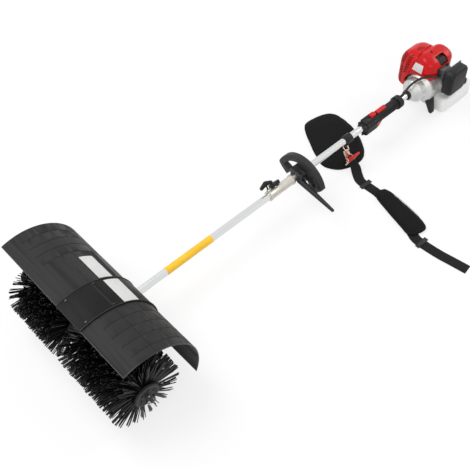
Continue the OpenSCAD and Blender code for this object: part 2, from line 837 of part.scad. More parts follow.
// One three-sided bundle from its root in the sleeve to its tip
function bundle_points(x, deg, k, bare) = let (
        splay = max(0, x - core_out + bare + bristle_splay_zone) * bristle_splay_share,
        tip_x = x + bristle_lean * wobble(k) + splay,
        tip_deg = deg + bristle_lean_deg * wobble(k + 5),
        tip_r = drum_r - bristle_short * abs(wobble(k + 9)))
    [for (end = [[x, deg, core_r + sleeve_t / 2, bristle_w],
            [tip_x, tip_deg, tip_r, bristle_w * bristle_tip_share]], i = [0:2])
        let (a = end[1], o = polar(end[3], 120 * i))
        [end[0] + o[0], end[2] * cos(a) - o[1] * sin(a), end[2] * sin(a) + o[1] * cos(a)]];
module bristles(side, bare) color("black") mirrored(side) on_axis() resize([0, 0, 0]) {
    places = [for (i = [0:bristle_rows - 1], j = [0:bristles_round - 1])
        [core_in + (row_pitch - bare / bristle_rows) * (i + 0.5), (j + (i % 2) / 2) * 360 / bristles_round,
            i * bristles_round + j]];
    faces = [[3, 4, 5], [2, 1, 0], [4, 3, 0], [4, 0, 1], [5, 4, 1], [5, 1, 2], [3, 5, 2], [3, 2, 0]];
    polyhedron([for (p = places) each bundle_points(p[0], p[1], p[2], bare)],
        [for (k = [0:len(places) - 1], f = faces) [for (v = f) v + 6 * k]]);
    rotate([0, 90, 0]) translate([0, 0, core_in + sleeve_gap]) difference() {
        cylinder(r = core_r + sleeve_t, h = sleeve_len, $fn = soft_fn);
        translate([0, 0, -over])
            cylinder(r = (core_r + fit_gap) / cos(180 / soft_fn), h = sleeve_len + 2 * over, $fn = soft_fn);
    }
}
module left_bristles() placed() bristles(1, 0);
module right_bristles() placed() bristles(-1, far_bare);
module drum_clips() placed() color("silver") {
    for (side = [-1, 1]) {
        pin_z(clip_r, side * clip_x, 0, -clip_half, clip_half);
        on_axis() translate([side * clip_x, 0, clip_ring_z]) rotate([0, 90, 0]) rotate_extrude()
            translate([clip_ring_r, 0]) circle(r = clip_wire_r);
    }
}

// Hood
module hood_holes() {
    rod_y(tube_hole_r, bracket_from, hood_r + lip_h + over);
    for (side = [-1, 1])
        pin_y(hood_bolt_r + fit_gap, side * hood_bolt_x, 0, bracket_from, hood_r + lip_h + over);
    rivets(rivet_r + fit_gap, hood_r - lip_h, hood_r + lip_h + over);
}
module rivets(r, from, to) {
    for (x = [saddle_to - near_overlap / 2, saddle_from + near_overlap / 2], a = rivet_degs)
        on_axis() rotate([a, 0, 0]) translate([x, from, 0]) rotate([-90, 0, 0]) cylinder(r = r, h = to - from);
}
module hood_panel(x_from, x_to, grid_from, grid_to) color("darkslategray") difference() {
    union() {
        arc_shell(hood_r - hood_wall, hood_r, x_from, x_to, hood_rear_deg, hood_front_deg);
        arc_shell(hood_r - lip_h, hood_r, max(x_from + over, -hood_half + lip_inset),
            min(x_to - over, hood_half - lip_inset), hood_front_deg - lip_deg, hood_front_deg);
    }
    for (s = groove_ring_shares)
        arc_shell(hood_r - groove_d, hood_r + over, grid_from + s * (grid_to - grid_from),
            grid_from + s * (grid_to - grid_from) + groove_w, groove_from_deg, groove_to_deg);
    for (a = groove_line_degs)
        arc_shell(hood_r - groove_line_share * groove_d, hood_r + over, grid_from, grid_to,
            a - groove_half_deg, a + groove_half_deg);
    hood_holes();
}
module left_hood_panel() placed()
    hood_panel(saddle_to - near_overlap, hood_half, saddle_to + groove_margin, hood_half - groove_margin);
module right_hood_panel() placed()
    hood_panel(-hood_half, saddle_from + far_overlap, -hood_half + groove_margin,
        -hood_half + (hood_half + saddle_from) * far_grid_share);
module hood_saddle() placed() color("darkslategray") difference() {
    arc_shell(hood_r + saddle_lift, hood_r + saddle_lift + saddle_t, saddle_from, saddle_to,
        hood_rear_deg, hood_front_deg);
    hood_holes();
}
module hood_bracket() placed() color("dimgray") difference() {
    union() {
        rod_y(bracket_r, bracket_from, bracket_face);
        box([-bracket_flange_half, bracket_face - bracket_flange_t, -bracket_flange_h],
            [bracket_flange_half, bracket_face, bracket_flange_h]);
    }
    rod_y(tube_r + fit_gap, bracket_from - over, bracket_face + over);
    for (side = [-1, 1])
        pin_y(hood_bolt_r + fit_gap, side * hood_bolt_x, 0, bracket_from - over, bracket_face + over);
}
module hood_bolts() placed() color("black") {
    outside = hood_r + saddle_lift + saddle_t + fit_gap;
    for (seat = [[-hood_bolt_x, hood_r + fit_gap], [hood_bolt_x, outside]]) {
        pin_y(hood_bolt_r, seat[0], 0, bracket_face - bracket_flange_t - hood_nut_h - over, seat[1] + over);
        pin_y(hood_bolt_head_r, seat[0], 0, seat[1], seat[1] + hood_bolt_head_h);
        on_axis() translate([seat[0], bracket_face - bracket_flange_t - hood_nut_h, 0]) rotate([-90, 0, 0])
            cylinder(r = hood_nut_r, h = hood_nut_h, $fn = 6);
    }
    inside = hood_r - hood_wall - fit_gap;
    rivets(rivet_r, inside - rivet_head_h, outside + rivet_head_h);
    rivets(rivet_head_r, inside - rivet_head_h, inside);
    rivets(rivet_head_r, outside, outside + rivet_head_h);
}

// Boom
module rolled(y) {
    on_axis() translate([0, y, 0]) rotate([0, -knob_roll, 0]) children();
}
module lower_tube() placed() color("gainsboro") difference() {
    ring_y(tube_r - tube_wall, tube_r, lower_tube_from, coupler_mid);
    rolled(pin_at) cylinder(r = pin_r + fit_gap, h = coupler_r);
}
module lower_drive_shaft() placed() color("silver")
    rod_y(shaft_r, cone_inner * cos(pinion_cone), shaft_join - fit_gap);
module shaft_bushes() placed() color("black") {
    for (s = bush_shares)
        ring_y(shaft_r + run_gap, tube_r - tube_wall - fit_gap, s * boom_len, s * boom_len + bush_len);
}
module coupler_sleeve() placed() color("tan") difference() {
    union() {
        rod_y(coupler_r, coupler_at, coupler_end);
        for (y = [coupler_at, coupler_end - coupler_rim_len])
            rod_y(coupler_r + coupler_rim, y, y + coupler_rim_len);
        rolled(pin_at) cylinder(r = pin_boss_r, h = pin_boss_top);
        rolled(screw_at) cylinder(r = screw_boss_r, h = screw_boss_top);
    }
    rod_y(tube_r + fit_gap, coupler_at - over, coupler_end + over);
    rolled(pin_at) cylinder(r = pin_r + run_gap, h = pin_bar_at);
    rolled(screw_at) cylinder(r = screw_r + run_gap, h = pin_bar_at);
}
module lock_pin() placed() color("black") {
    rolled(pin_at) translate([0, 0, pin_tip]) cylinder(r = pin_r, h = pin_bar_at - pin_tip);
    for (side = [-1, 1])
        rolled(pin_at) hull() {
            translate([0, 0, pin_bar_at]) sphere(r = pin_bar_r, $fn = soft_fn);
            translate([0, side * (pin_bar_len / 2 - pin_bar_r), pin_bar_at - pin_bar_droop])
                sphere(r = pin_bar_r * bar_tip_share, $fn = soft_fn);
        }
}
module clamp_knob() placed() color("black") rolled(screw_at) {
    translate([0, 0, tube_r + body_gap]) cylinder(r = screw_r, h = screw_boss_top - tube_r);
    translate([0, 0, screw_boss_top + body_gap]) cylinder(r = wing_hub_r, h = wing_h);
    translate([-wing_t / 2, -wing_len / 2, screw_boss_top + body_gap]) cube([wing_t, wing_len, wing_h]);
}
module upper_tube() placed() color("gainsboro")
    ring_y(tube_r - tube_wall, tube_r, coupler_mid + fit_gap, upper_tube_end);
module upper_drive_shaft() placed() color("silver") difference() {
    union() {
        rod_y(socket_r, shaft_join - socket_grip, shaft_join + socket_grip);
        rod_y(shaft_r, shaft_join, clutch_plate_from - fit_gap);
    }
    rod_y(shaft_r + fit_gap, shaft_join - socket_grip - over, shaft_join);
}

// Handles
module sector(deg_from, deg_to, r) {
    polygon(concat([[0, 0]], [for (s = [0:1 / 3:1]) polar(2 * r, deg_from + s * (deg_to - deg_from))]));
}
module arc_slot(inner, outer, degs) {
    intersection() {
        difference() {
            circle(r = outer);
            circle(r = inner);
        }
        sector(degs[0], degs[1], outer);
    }
}
module loop_outline() {
    ends = [for (s = loop_end_shares) s * loop_r];
    crown = 2 * loop_r;
    translate([0, -loop_drop]) difference() {
        intersection() {
            circle(r = loop_r, $fn = 96);
            polygon(concat([[-crown, crown], [crown, crown], [crown, ends[0].y]], ends,
                [[clamp_half, loop_drop], [-clamp_half, loop_drop]],
                [for (i = [2:-1:0]) [-ends[i].x, ends[i].y]], [[-crown, ends[0].y]]));
        }
        arc_slot(hand_gap_in, loop_r - loop_bar, hand_gap_degs);
        arc_slot(slit_in, slit_out, slit_degs);
    }
}
module clamp_bolts(r, from, to) {
    for (side = [-1, 1], s = clamp_bolt_shares)
        pin_z(r, side * clamp_bolt_x, clamp_at + s * clamp_len, from, to);
}
module loop_handle() placed() color("black") difference() {
    union() {
        on_axis() translate([0, loop_mid + loop_depth / 2, 0]) rotate([90, 0, 0])
            linear_extrude(loop_depth) loop_outline();
        box([-clamp_half, clamp_at, 0], [clamp_half, clamp_at + clamp_len, clamp_top]);
    }
    rod_y(tube_r + fit_gap, clamp_at - over, clamp_at + clamp_len + over);
    clamp_bolts(clamp_bolt_r + fit_gap, -over, clamp_top);
    clamp_bolts(clamp_bolt_head_r + fit_gap, clamp_seat, clamp_top + over);
}
module barrier_bar() placed() color("black") difference() {
    union() {
        box([-clamp_half, clamp_at, -clamp_top], [clamp_half, clamp_at + clamp_len, 0]);
        hull() {
            on_axis() translate([clamp_half - barrier_root_r, barrier_at, -barrier_root_r - over])
                sphere(r = barrier_root_r, $fn = soft_fn);
            on_axis() translate([barrier_reach - barrier_tip_r, barrier_at - barrier_root_r, -barrier_drop])
                sphere(r = barrier_tip_r, $fn = soft_fn);
        }
    }
    rod_y(tube_r + fit_gap, barrier_at - 2 * barrier_root_r, clamp_at + clamp_len + over);
    clamp_bolts(clamp_bolt_r + fit_gap, -clamp_bolt_low - fit_gap, over);
}
module throttle_body() {
    trigger_room = trigger_half + slot_gap;
    lever_room = lever_half + slot_gap;
    switch_room = switch_half + slot_gap;
    difference() {
        union() {
            rod_y(grip_r, throttle_at + front_round, throttle_end);
            rod_y(rear_flare_r, throttle_end - rear_flare_len, throttle_end);
            box([-ridge_half, grip_from, 0], [ridge_half, lever_pivot_y + ridge_half, ridge_top]);
            ball_block([-front_half, throttle_at, -front_bottom],
                [front_half, grip_from + front_half, front_top], front_round);
        }
        rod_y(tube_r + fit_gap, throttle_at - over, throttle_end + over);
        box([-trigger_room, trigger_pivot_y - front_round, -2 * front_bottom],
            [trigger_room, trigger_pivot_y + trigger_len + front_round, -tube_r - over]);
        box([-lever_room, lever_pivot_y - lever_len - slot_gap, tube_r + over],
            [lever_room, lever_pivot_y + lever_half, 2 * front_bottom]);
        box([-switch_room, switch_at - slot_gap, switch_low - slot_gap],
            [switch_room, switch_at + switch_len + switch_travel + slot_gap, 2 * front_bottom]);
    }
}
module half_space(side) {
    box([side > 0 ? 0 : -throttle_len, throttle_at - throttle_len, -throttle_len],
        [side > 0 ? throttle_len : 0, throttle_end + throttle_len, throttle_len]);
}
module left_throttle_shell() placed() color("black") {
    intersection() {
        throttle_body();
        half_space(1);
    }
    pin_x(trigger_pin_r, trigger_pivot_y, -trigger_pivot_drop, -trigger_half - slot_gap,
        trigger_half + 2 * slot_gap);
    pin_x(lever_pin_r, lever_pivot_y, lever_pivot_rise, -lever_half - slot_gap, lever_half + 2 * slot_gap);
}
module right_throttle_shell() placed() color("black") intersection() {
    throttle_body();
    half_space(-1);
}
module throttle_trigger() placed() color("red") difference() {
    on_axis() translate([-trigger_half, trigger_pivot_y, -trigger_pivot_drop]) rotate([90, 0, 90])
        linear_extrude(2 * trigger_half)
            polygon([for (s = trigger_shares) [s.x * trigger_len, s.y * trigger_drop]]);
    pin_x(trigger_pin_r + run_gap, trigger_pivot_y, -trigger_pivot_drop, -2 * trigger_half, 2 * trigger_half);
}
module lockout_lever() placed() color("red") difference() {
    box([-lever_half, lever_pivot_y - lever_len, lever_low], [lever_half, lever_pivot_y + lever_pin_r + over,
        lever_high]);
    pin_x(lever_pin_r + run_gap, lever_pivot_y, lever_pivot_rise, -2 * lever_half, 2 * lever_half);
}
module stop_switch() placed() color("red")
    box([-switch_half, switch_at, switch_low], [switch_half, switch_at + switch_len, switch_high]);
module throttle_cable() placed() color("black")
    skin(route_rings(cable_route, [for (i = [0:cable_sides - 1]) polar(cable_r, i * 360 / cable_sides)]));

// Harness
module hanger_clamp() placed() color("black") difference() {
    union() {
        rod_y(hanger_r, hanger_at, hanger_at + hanger_len);
        box([-lug_t / 2, hook_y - lug_half, -lug_drop - lug_edge], [lug_t / 2, hook_y + lug_half, 0]);
    }
    rod_y(tube_r + fit_gap, hanger_at - over, hanger_at + hanger_len + over);
    pin_x(lug_hole_r, hook_y, -lug_drop + lug_hole_r, -lug_t, lug_t);
}
module harness_hook() placed() color("gold") {
    on_axis() translate([0, hook_y, hook_ring_z]) rotate([90, 0, 0]) rotate_extrude()
        translate([hook_ring_r, 0]) circle(r = hook_wire_r);
    hull() {
        box([-hook_plate_t / 2, hook_y - lug_half, hook_ring_z - hook_ring_r - hook_plate_t],
            [hook_plate_t / 2, hook_y + lug_half, hook_ring_z - hook_ring_r]);
        box([hook_lean - hook_plate_t, hook_y - hook_plate_half, hook_bar_z],
            [hook_lean, hook_y + hook_plate_half, hook_bar_z + hook_plate_t]);
    }
    pin_y(hook_wire_r, hook_lean, hook_bar_z, hook_y - hook_bar_half, hook_y + hook_bar_half);
    for (side = [-1, 1]) {
        ear_y = hook_y + side * (tab_half + tab_ear_t / 2 + slot_gap);
        box([tab_x - tab_ear, ear_y - tab_ear_t / 2, tab_z - tab_t],
            [tab_x + tab_pin_r, ear_y + tab_ear_t / 2, tab_z + tab_t / 2]);
    }
    pin_y(tab_pin_r, tab_x, tab_z, hook_y - tab_half - tab_ear_t, hook_y + tab_half + tab_ear_t);
}
module release_tab() placed() color("crimson") difference() {
    hull() {
        pin_y(tab_t, tab_x, tab_z, hook_y - tab_half, hook_y + tab_half);
        pin_y(tab_t / 2, tab_x + tab_len * cos(tab_rise_deg), tab_z + tab_len * sin(tab_rise_deg),
            hook_y - tab_half, hook_y + tab_half);
    }
    pin_y(tab_pin_r + run_gap, tab_x, tab_z, hook_y - hook_bar_half, hook_y + hook_bar_half);
}
module hip_pad() placed() color("black") {
    translate([pad_x, pad_y, 0]) soft_pad(pad_shares, pad_len, pad_w, pad_t, pad_ring_shares);
    translate([hook_lean - keeper_back, hook_y - keeper_half, keeper_from])
        cube([keeper_back + hook_wire_r, 2 * keeper_half, strap_start_z - hook_wire_r - fit_gap - keeper_from]);
}
strap_route = [for (i = [0:len(strap_shares) - 1])
    [strap_start_x + strap_shares[i].x * strap_reach, hook_y + strap_shares[i].y * strap_reach,
        strap_low + (i < len(strap_fall_shares) ? strap_fall_shares[i] : 0) * (strap_start_z - strap_low)]];
module harness_strap() placed() color("black")
    skin(route_rings(strap_route, [for (c = [[1, 1], [-1, 1], [-1, -1], [1, -1]])
        [c.x * strap_w / 2, c.y * strap_t / 2]]));
module shoulder_pad() placed() color("black")
    translate([strap_start_x + shoulder_place_shares[0] * strap_reach,
        hook_y + shoulder_place_shares[1] * strap_reach, strap_low + strap_t / 2 + fit_gap])
        rotate([0, 0, shoulder_deg])
        soft_pad(shoulder_shares, shoulder_len, shoulder_w, shoulder_t, shoulder_ring_shares);
module strap_sliders() placed() color("black") {
    roof = strap_low + strap_t / 2 + body_gap;
    for (s = slider_shares)
        translate([strap_start_x + s.x * strap_reach, hook_y + s.y * strap_reach, 0]) difference() {
            translate([-slider_len / 2, -strap_w / 2 - slider_rim, strap_lift])
                cube([slider_len, strap_w + 2 * slider_rim, roof + slider_h - strap_lift]);
            translate([-slider_len, -strap_w / 2 - slot_gap, -over])
                cube([2 * slider_len, strap_w + 2 * slot_gap, roof + over]);
        }
}

// Engine
module rubber_ring() placed() color("black")
    ring_y(tube_r + fit_gap, ring_r, boom_len - ring_t / 2, boom_len + ring_t / 2);
module clutch_housing() placed() color("silver") difference() {
    on_axis() translate([0, fan_from, 0]) rotate([-90, 0, 0]) rotate_extrude()
        polygon(concat([[0, 0]], [for (s = clutch_profile_shares) [s.x * fan_case_r, s.y * fan_case_len]],
            [[0, fan_case_len]]));
    rod_y(tube_r + fit_gap, fan_from - over, upper_tube_end + fit_gap);
    rod_y(clutch_throat_r, fan_from, fan_chamber_from);
    rod_y(clutch_bearing_r + fit_gap, clutch_bearing_from, fan_chamber_from);
    rod_y(clutch_chamber_r, clutch_chamber_from, fan_chamber_from + over);
    rod_y(fan_case_r - fan_wall, fan_chamber_from, fan_to + over);
}
module clutch_drum() placed() color("gray") difference() {
    union() {
        rod_y(clutch_hub_r, clutch_hub_from, clutch_plate_from + clutch_plate_t);
        rod_y(clutch_drum_r, clutch_plate_from, clutch_rim_to);
    }
    rod_y(clutch_drum_r - clutch_drum_wall, clutch_plate_from + clutch_plate_t, clutch_rim_to + over);
    rod_y(shaft_r + fit_gap, clutch_hub_from - over, clutch_plate_from);
}
module clutch_shoes() placed() color("dimgray") difference() {
    rod_y(shoe_r, shoe_from, shoe_to);
    rod_y(crank_nose_r + fit_gap, shoe_from - over, shoe_to + over);
    box([-shoe_split / 2, shoe_from - over, -shoe_r - over], [shoe_split / 2, shoe_to + over, shoe_r + over]);
}
module flywheel() placed() color("lightgray") difference() {
    union() {
        rod_y(fly_r, fly_from, fly_from + fly_disc_t);
        rod_y(fly_hub_r, fly_from, fly_to);
        for (i = [0:fan_blades - 1])
            on_axis() rotate([0, i * 360 / fan_blades, 0])
                translate([crank_r + fan_blade_t, fly_from, -fan_blade_t / 2])
                cube([fly_r - crank_r - 2 * fan_blade_t, fly_to - fly_from, fan_blade_t]);
    }
    rod_y(crank_r + fit_gap, fly_from - over, fly_to + over);
}
module crankcase() placed() color("silver") difference() {
    union() {
        box([-crankcase_half, fan_to, -crankcase_drop], [crankcase_half, crank_to, crankcase_top]);
        rod_y(fan_case_r, fan_to, fan_to + flange_t);
    }
    rod_y(crank_chamber_r, fan_to + chamber_in, crank_to - chamber_in);
    rod_y(clutch_bearing_r + fit_gap, fan_to + chamber_in - bearing_w - fit_gap,
        crank_to - chamber_in + bearing_w + fit_gap);
    rod_y(crank_hole_r, fan_to - over, crank_to + over);
    pin_z(cyl_bore_r, 0, cyl_y, 0, crankcase_top + over);
}
module crankshaft() placed() color("darkgray") {
    rod_y(crank_nose_r, shoe_from - shoe_gap, fly_from);
    rod_y(crank_r, fly_from - shoe_gap, fan_to + web_in + web_t);
    rod_y(web_r, fan_to + web_in, fan_to + web_in + web_t);
    pin_y(crank_pin_r, 0, -crank_throw, fan_to + web_in, crank_to - web_in);
    rod_y(web_r, crank_to - web_in - web_t, crank_to - web_in);
    rod_y(crank_r, crank_to - web_in - web_t, crank_to + tail_len);
}
module cylinder_ports(r, from, to) {
    pin_x(r, cyl_y, port_rise, from, to);
    pin_x(r, cyl_y, port_rise, -to, -from);
}
module cylinder_shape() {
    fin_pitch = (cyl_top - fin_from - fin_t) / (fin_count - 1);
    pin_z(cyl_body_r, 0, cyl_y, crankcase_top, cyl_top);
    for (i = [0:fin_count - 1])
        pin_z(fin_r, 0, cyl_y, fin_from + i * fin_pitch, fin_from + i * fin_pitch + fin_t);
    cylinder_ports(port_r, cyl_bore_r + fit_gap, port_face);
}
module plug_cap() placed() color("black") {
    pin_z(boot_r, 0, cyl_y, cyl_top + fit_gap, cyl_top + boot_rise);
    pin_x(boot_r * boot_lead_share, cyl_y, cyl_top + boot_rise - boot_r, 0, boot_len);
}
module muffler() placed() color("dimgray") {
    wall = [cover_wall, cover_wall, cover_wall];
    low = [-muffler_in - muffler_w, cyl_y - muffler_front, muffler_low];
    high = [-muffler_in, cyl_y + muffler_rear, muffler_high];
    difference() {
        box(low, high);
        box(low + wall, high - wall);
    }
    pin_x(port_r, cyl_y, port_rise, -muffler_in - over, -port_face - fit_gap);
    pin_y(tail_pipe_r, tail_pipe_x, tail_pipe_rise, cyl_y + muffler_rear - over, lobe_to + tail_pipe_out);
}
module carburettor() placed() color("darkgray") {
    box([port_face + fit_gap, cyl_y - carb_half, carb_low], [carb_out, cyl_y + carb_half, carb_high]);
    box([carb_out - over, filter_from + carb_inset, filter_low + carb_inset],
        [filter_in - fit_gap, filter_from + filter_len - carb_inset, filter_high - over]);
    pin_y(choke_pin_r, choke_x, choke_rise, cyl_y + carb_half - over, choke_y + choke_t + over);
}
module choke_lever() placed() color("black") difference() {
    union() {
        pin_y(choke_boss_r, choke_x, choke_rise, choke_y, choke_y + choke_t);
        box([choke_x - choke_arm_half, choke_y, choke_rise], [choke_x + choke_arm_half, choke_y + choke_t,
            choke_rise + choke_arm]);
    }
    pin_y(choke_pin_r + run_gap, choke_x, choke_rise, choke_y - over, choke_y + choke_t + over);
}
// The cup opens towards the carburettor, whose plate closes it
module air_filter_cover() placed() color("black")
    on_axis() translate([filter_in, filter_from + filter_len / 2, (filter_low + filter_high) / 2])
        rotate([0, 90, 0]) difference() {
            half = [(filter_high - filter_low) / 2, filter_len / 2];
            wall = cover_wall;
            soft_block([-half.x, -half.y, 0], [half.x, half.y, filter_w], filter_corner, filter_round, over);
            translate([0, 0, -over])
                soft_block([wall - half.x, wall - half.y, 0], [half.x - wall, half.y - wall, filter_w - wall],
                    filter_corner - wall, filter_round - wall, over);
            translate([-2 * half.x, -2 * half.y, -2 * filter_w])
                cube([4 * half.x, 4 * half.y, 2 * filter_w]);
        }
// Room behind the lobe where the starter grip is pulled out
module grip_room(grow) {
    box([2 * lobe_out, lobe_to - grow, 2 * lobe_low],
        [grow + over - crankcase_half, starter_to, grip_room_rise + grow]);
}
module engine_cover() placed() color("red") difference() {
    lobe_a = [lobe_out, lobe_from, lobe_low];
    lobe_b = [cover_right, shell_to, lobe_high];
    dome_a = [dome_left, dome_from, dome_low];
    dome_b = [cover_right - over, dome_to, dome_high];
    wall = [cover_wall, cover_wall, cover_wall];
    union() {
        on_axis() soft_block(lobe_a, lobe_b, lobe_corner, lobe_round, over, lobe_slope);
        on_axis() soft_block(dome_a, dome_b, dome_corner, dome_round, over, dome_slope);
    }
    difference() {
        on_axis() soft_block(lobe_a + wall, lobe_b - wall, lobe_corner - cover_wall, lobe_round - cover_wall,
            over, lobe_slope);
        grip_room(cover_wall);
    }
    on_axis() soft_block(dome_a + wall, dome_b - wall, dome_corner - cover_wall, dome_round - cover_wall,
        over, dome_slope);
    grip_room(0);
    box([-crankcase_half - fit_gap, lobe_from - over, -crankcase_drop], [2 * cover_right, starter_to + over,
        crankcase_top + fit_gap]);
    rod_y(fan_case_r + fit_gap, lobe_from - over, fan_to + flange_t + fit_gap);
    rod_y(starter_r + fit_gap, crank_to - over, starter_to + over);
    box([cover_right - window_depth, cyl_y + window_past - window_half, window_low],
        [2 * cover_right, cyl_y + window_past + window_half, 2 * window_low]);
    box([cover_right - dome_round, cyl_y - intake_half, 0],
        [2 * cover_right, cyl_y + intake_half, carb_high + over]);
    pin_y(tail_pipe_r + over, tail_pipe_x, tail_pipe_rise, cyl_y + muffler_rear, lobe_to + over);
}
module starter_housing() placed() color("black") difference() {
    union() {
        difference() {
            rod_y(starter_r, crank_to, starter_to);
            rod_y(starter_r - starter_wall, crank_to - over, starter_to - starter_wall);
        }
        difference() {
            box([-starter_r, rope_y - guide_half, rope_r - guide_half], [-guide_in, rope_y + guide_half,
                rope_r + guide_half]);
            rod_y(starter_r - starter_wall, crank_to - over, starter_to - starter_wall);
        }
        rod_y(starter_post_r, pulley_from - over, starter_to - over);
    }
    pin_x(rope_hole_r, rope_y, rope_r, -starter_r - over, -guide_in + guide_half);
}
module starter_pulley() placed() color("dimgray")
    on_axis() translate([0, pulley_from, 0]) rotate([-90, 0, 0]) rotate_extrude()
        polygon([[starter_post_r + run_gap, 0], [pulley_r, 0], [rope_r, pulley_t / 2 - rope_seat / 2],
            [rope_r, pulley_t / 2 + rope_seat / 2], [pulley_r, pulley_t],
            [starter_post_r + run_gap, pulley_t]]);
module starter_grip() placed() color("black") {
    stem_from = -starter_r - grip_gap;
    pin_x(grip_stem_r, rope_y, rope_r, stem_from - grip_stem_len - grip_bar_r, stem_from);
    pin_z(grip_bar_r, stem_from - grip_stem_len - grip_bar_r, rope_y, rope_r - grip_bar_half,
        rope_r + grip_bar_half);
}
module fuel_tank() placed() color("whitesmoke") difference() {
    low = [tank_out - tank_w, tank_from, tank_floor - shaft_h];
    high = [tank_out, tank_from + tank_len, tank_top];
    wall = [tank_wall, tank_wall, tank_wall];
    union() {
        on_axis() soft_block(low, high, tank_corner, tank_rim);
        pin_z(filler_r, filler_x, filler_y, tank_top - tank_wall / 2, tank_top + filler_h);
    }
    on_axis() soft_block(low + wall, high - wall, tank_corner - tank_wall, tank_rim - tank_wall);
    pin_z(filler_r - filler_wall, filler_x, filler_y, tank_top - tank_wall - over, tank_top + filler_h + over);
}
module fuel_cap() placed() color("black") difference() {
    pin_z(cap_r, filler_x, filler_y, tank_top + body_gap, tank_top + cap_h);
    pin_z(filler_r + body_gap, filler_x, filler_y, tank_top, tank_top + filler_h + body_gap);
}
module engine_stand() placed() color("black") {
    roof = -crankcase_drop - fit_gap;
    box([-crankcase_half, stand_y, roof - stand_top_t], [crankcase_half, stand_y + stand_len, roof]);
    for (side = [-1, 1])
        mirrored(side) hull() {
            box([stand_web_in, stand_y, roof - stand_top_t], [crankcase_half, stand_y + stand_len, roof]);
            box([stand_half - stand_leg, stand_y, -shaft_h],
                [stand_half, stand_y + stand_len, stand_skid - shaft_h]);
        }
}
module finned_cylinder() placed() color("darkgray") difference() {
    cylinder_shape();
    pin_z(cyl_bore_r, 0, cyl_y, crankcase_top - over, cyl_top - fin_t);
}

gear_case();
gear_case_cover();
cap_screws();
drum_axle();
ring_gear();
pinion_gear();
ball_bearings();
left_drum_core();
right_drum_core();
left_bristles();
right_bristles();
drum_clips();
left_hood_panel();
right_hood_panel();
hood_saddle();
hood_bracket();
hood_bolts();
lower_tube();
lower_drive_shaft();
shaft_bushes();
coupler_sleeve();
lock_pin();
clamp_knob();
upper_tube();
upper_drive_shaft();
loop_handle();
barrier_bar();
left_throttle_shell();
right_throttle_shell();
throttle_trigger();
lockout_lever();
stop_switch();
throttle_cable();
hanger_clamp();
harness_hook();
release_tab();
hip_pad();
harness_strap();
shoulder_pad();
strap_sliders();
rubber_ring();
clutch_housing();
clutch_drum();
clutch_shoes();
flywheel();
crankcase();
crankshaft();
finned_cylinder();
plug_cap();
muffler();
carburettor();
choke_lever();
air_filter_cover();
engine_cover();
starter_housing();
starter_pulley();
starter_grip();
fuel_tank();
fuel_cap();
engine_stand();
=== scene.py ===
import bpy, bmesh, json, math, random
from mathutils import Vector, Matrix

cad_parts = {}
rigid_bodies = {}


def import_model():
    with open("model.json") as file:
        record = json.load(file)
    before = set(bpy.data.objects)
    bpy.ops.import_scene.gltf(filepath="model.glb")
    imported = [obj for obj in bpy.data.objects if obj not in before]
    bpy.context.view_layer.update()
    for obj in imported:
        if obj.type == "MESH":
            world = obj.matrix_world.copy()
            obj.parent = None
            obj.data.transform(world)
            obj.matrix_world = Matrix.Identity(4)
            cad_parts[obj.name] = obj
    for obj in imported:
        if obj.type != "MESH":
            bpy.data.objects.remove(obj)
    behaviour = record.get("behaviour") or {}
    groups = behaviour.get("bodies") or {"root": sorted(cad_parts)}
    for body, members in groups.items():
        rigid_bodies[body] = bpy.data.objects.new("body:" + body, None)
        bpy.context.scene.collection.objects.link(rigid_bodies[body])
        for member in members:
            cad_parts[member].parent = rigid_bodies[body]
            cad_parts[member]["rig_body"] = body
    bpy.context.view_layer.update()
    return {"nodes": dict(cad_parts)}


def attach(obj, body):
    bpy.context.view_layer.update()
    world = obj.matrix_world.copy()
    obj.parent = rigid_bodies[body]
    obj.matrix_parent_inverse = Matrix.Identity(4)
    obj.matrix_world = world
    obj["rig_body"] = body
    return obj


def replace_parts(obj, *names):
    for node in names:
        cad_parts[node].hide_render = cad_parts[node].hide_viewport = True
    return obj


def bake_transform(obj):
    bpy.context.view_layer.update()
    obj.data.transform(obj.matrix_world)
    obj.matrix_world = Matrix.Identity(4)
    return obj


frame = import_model()
nodes = frame["nodes"]
rnd = random.Random(7)
scene = bpy.context.scene
scene.view_settings.view_transform = "Standard"

# The machine's own frame in millimetres: x along the drum axle and y along the boom, from the axle's middle.
# A height v is measured from the boom's axis, which lies SHAFT_H above the floor.
MID_X, MID_Y, SHAFT_H = 152.05, 863.05, 125.0
UP, DOWN = Vector((0, 0, 1)), Vector((0, 0, -1))
UPRIGHT = Matrix.Identity(3)


def M(x, y, v):
    """Point of the machine's frame, in the metres of the scene"""
    return Vector(((x - MID_X) / 1000, (y - MID_Y) / 1000, (v + SHAFT_H) / 1000))


def over_floor(x, y, z):
    """Point whose height is measured from the floor"""
    return M(x, y, z - SHAFT_H)


def round_axle(x, r, a):
    """Point at radius r and angle a round the drum axle"""
    return M(x, r * math.cos(a), r * math.sin(a))


def add_object(name, data):
    o = bpy.data.objects.new(name, data)
    scene.collection.objects.link(o)
    return o


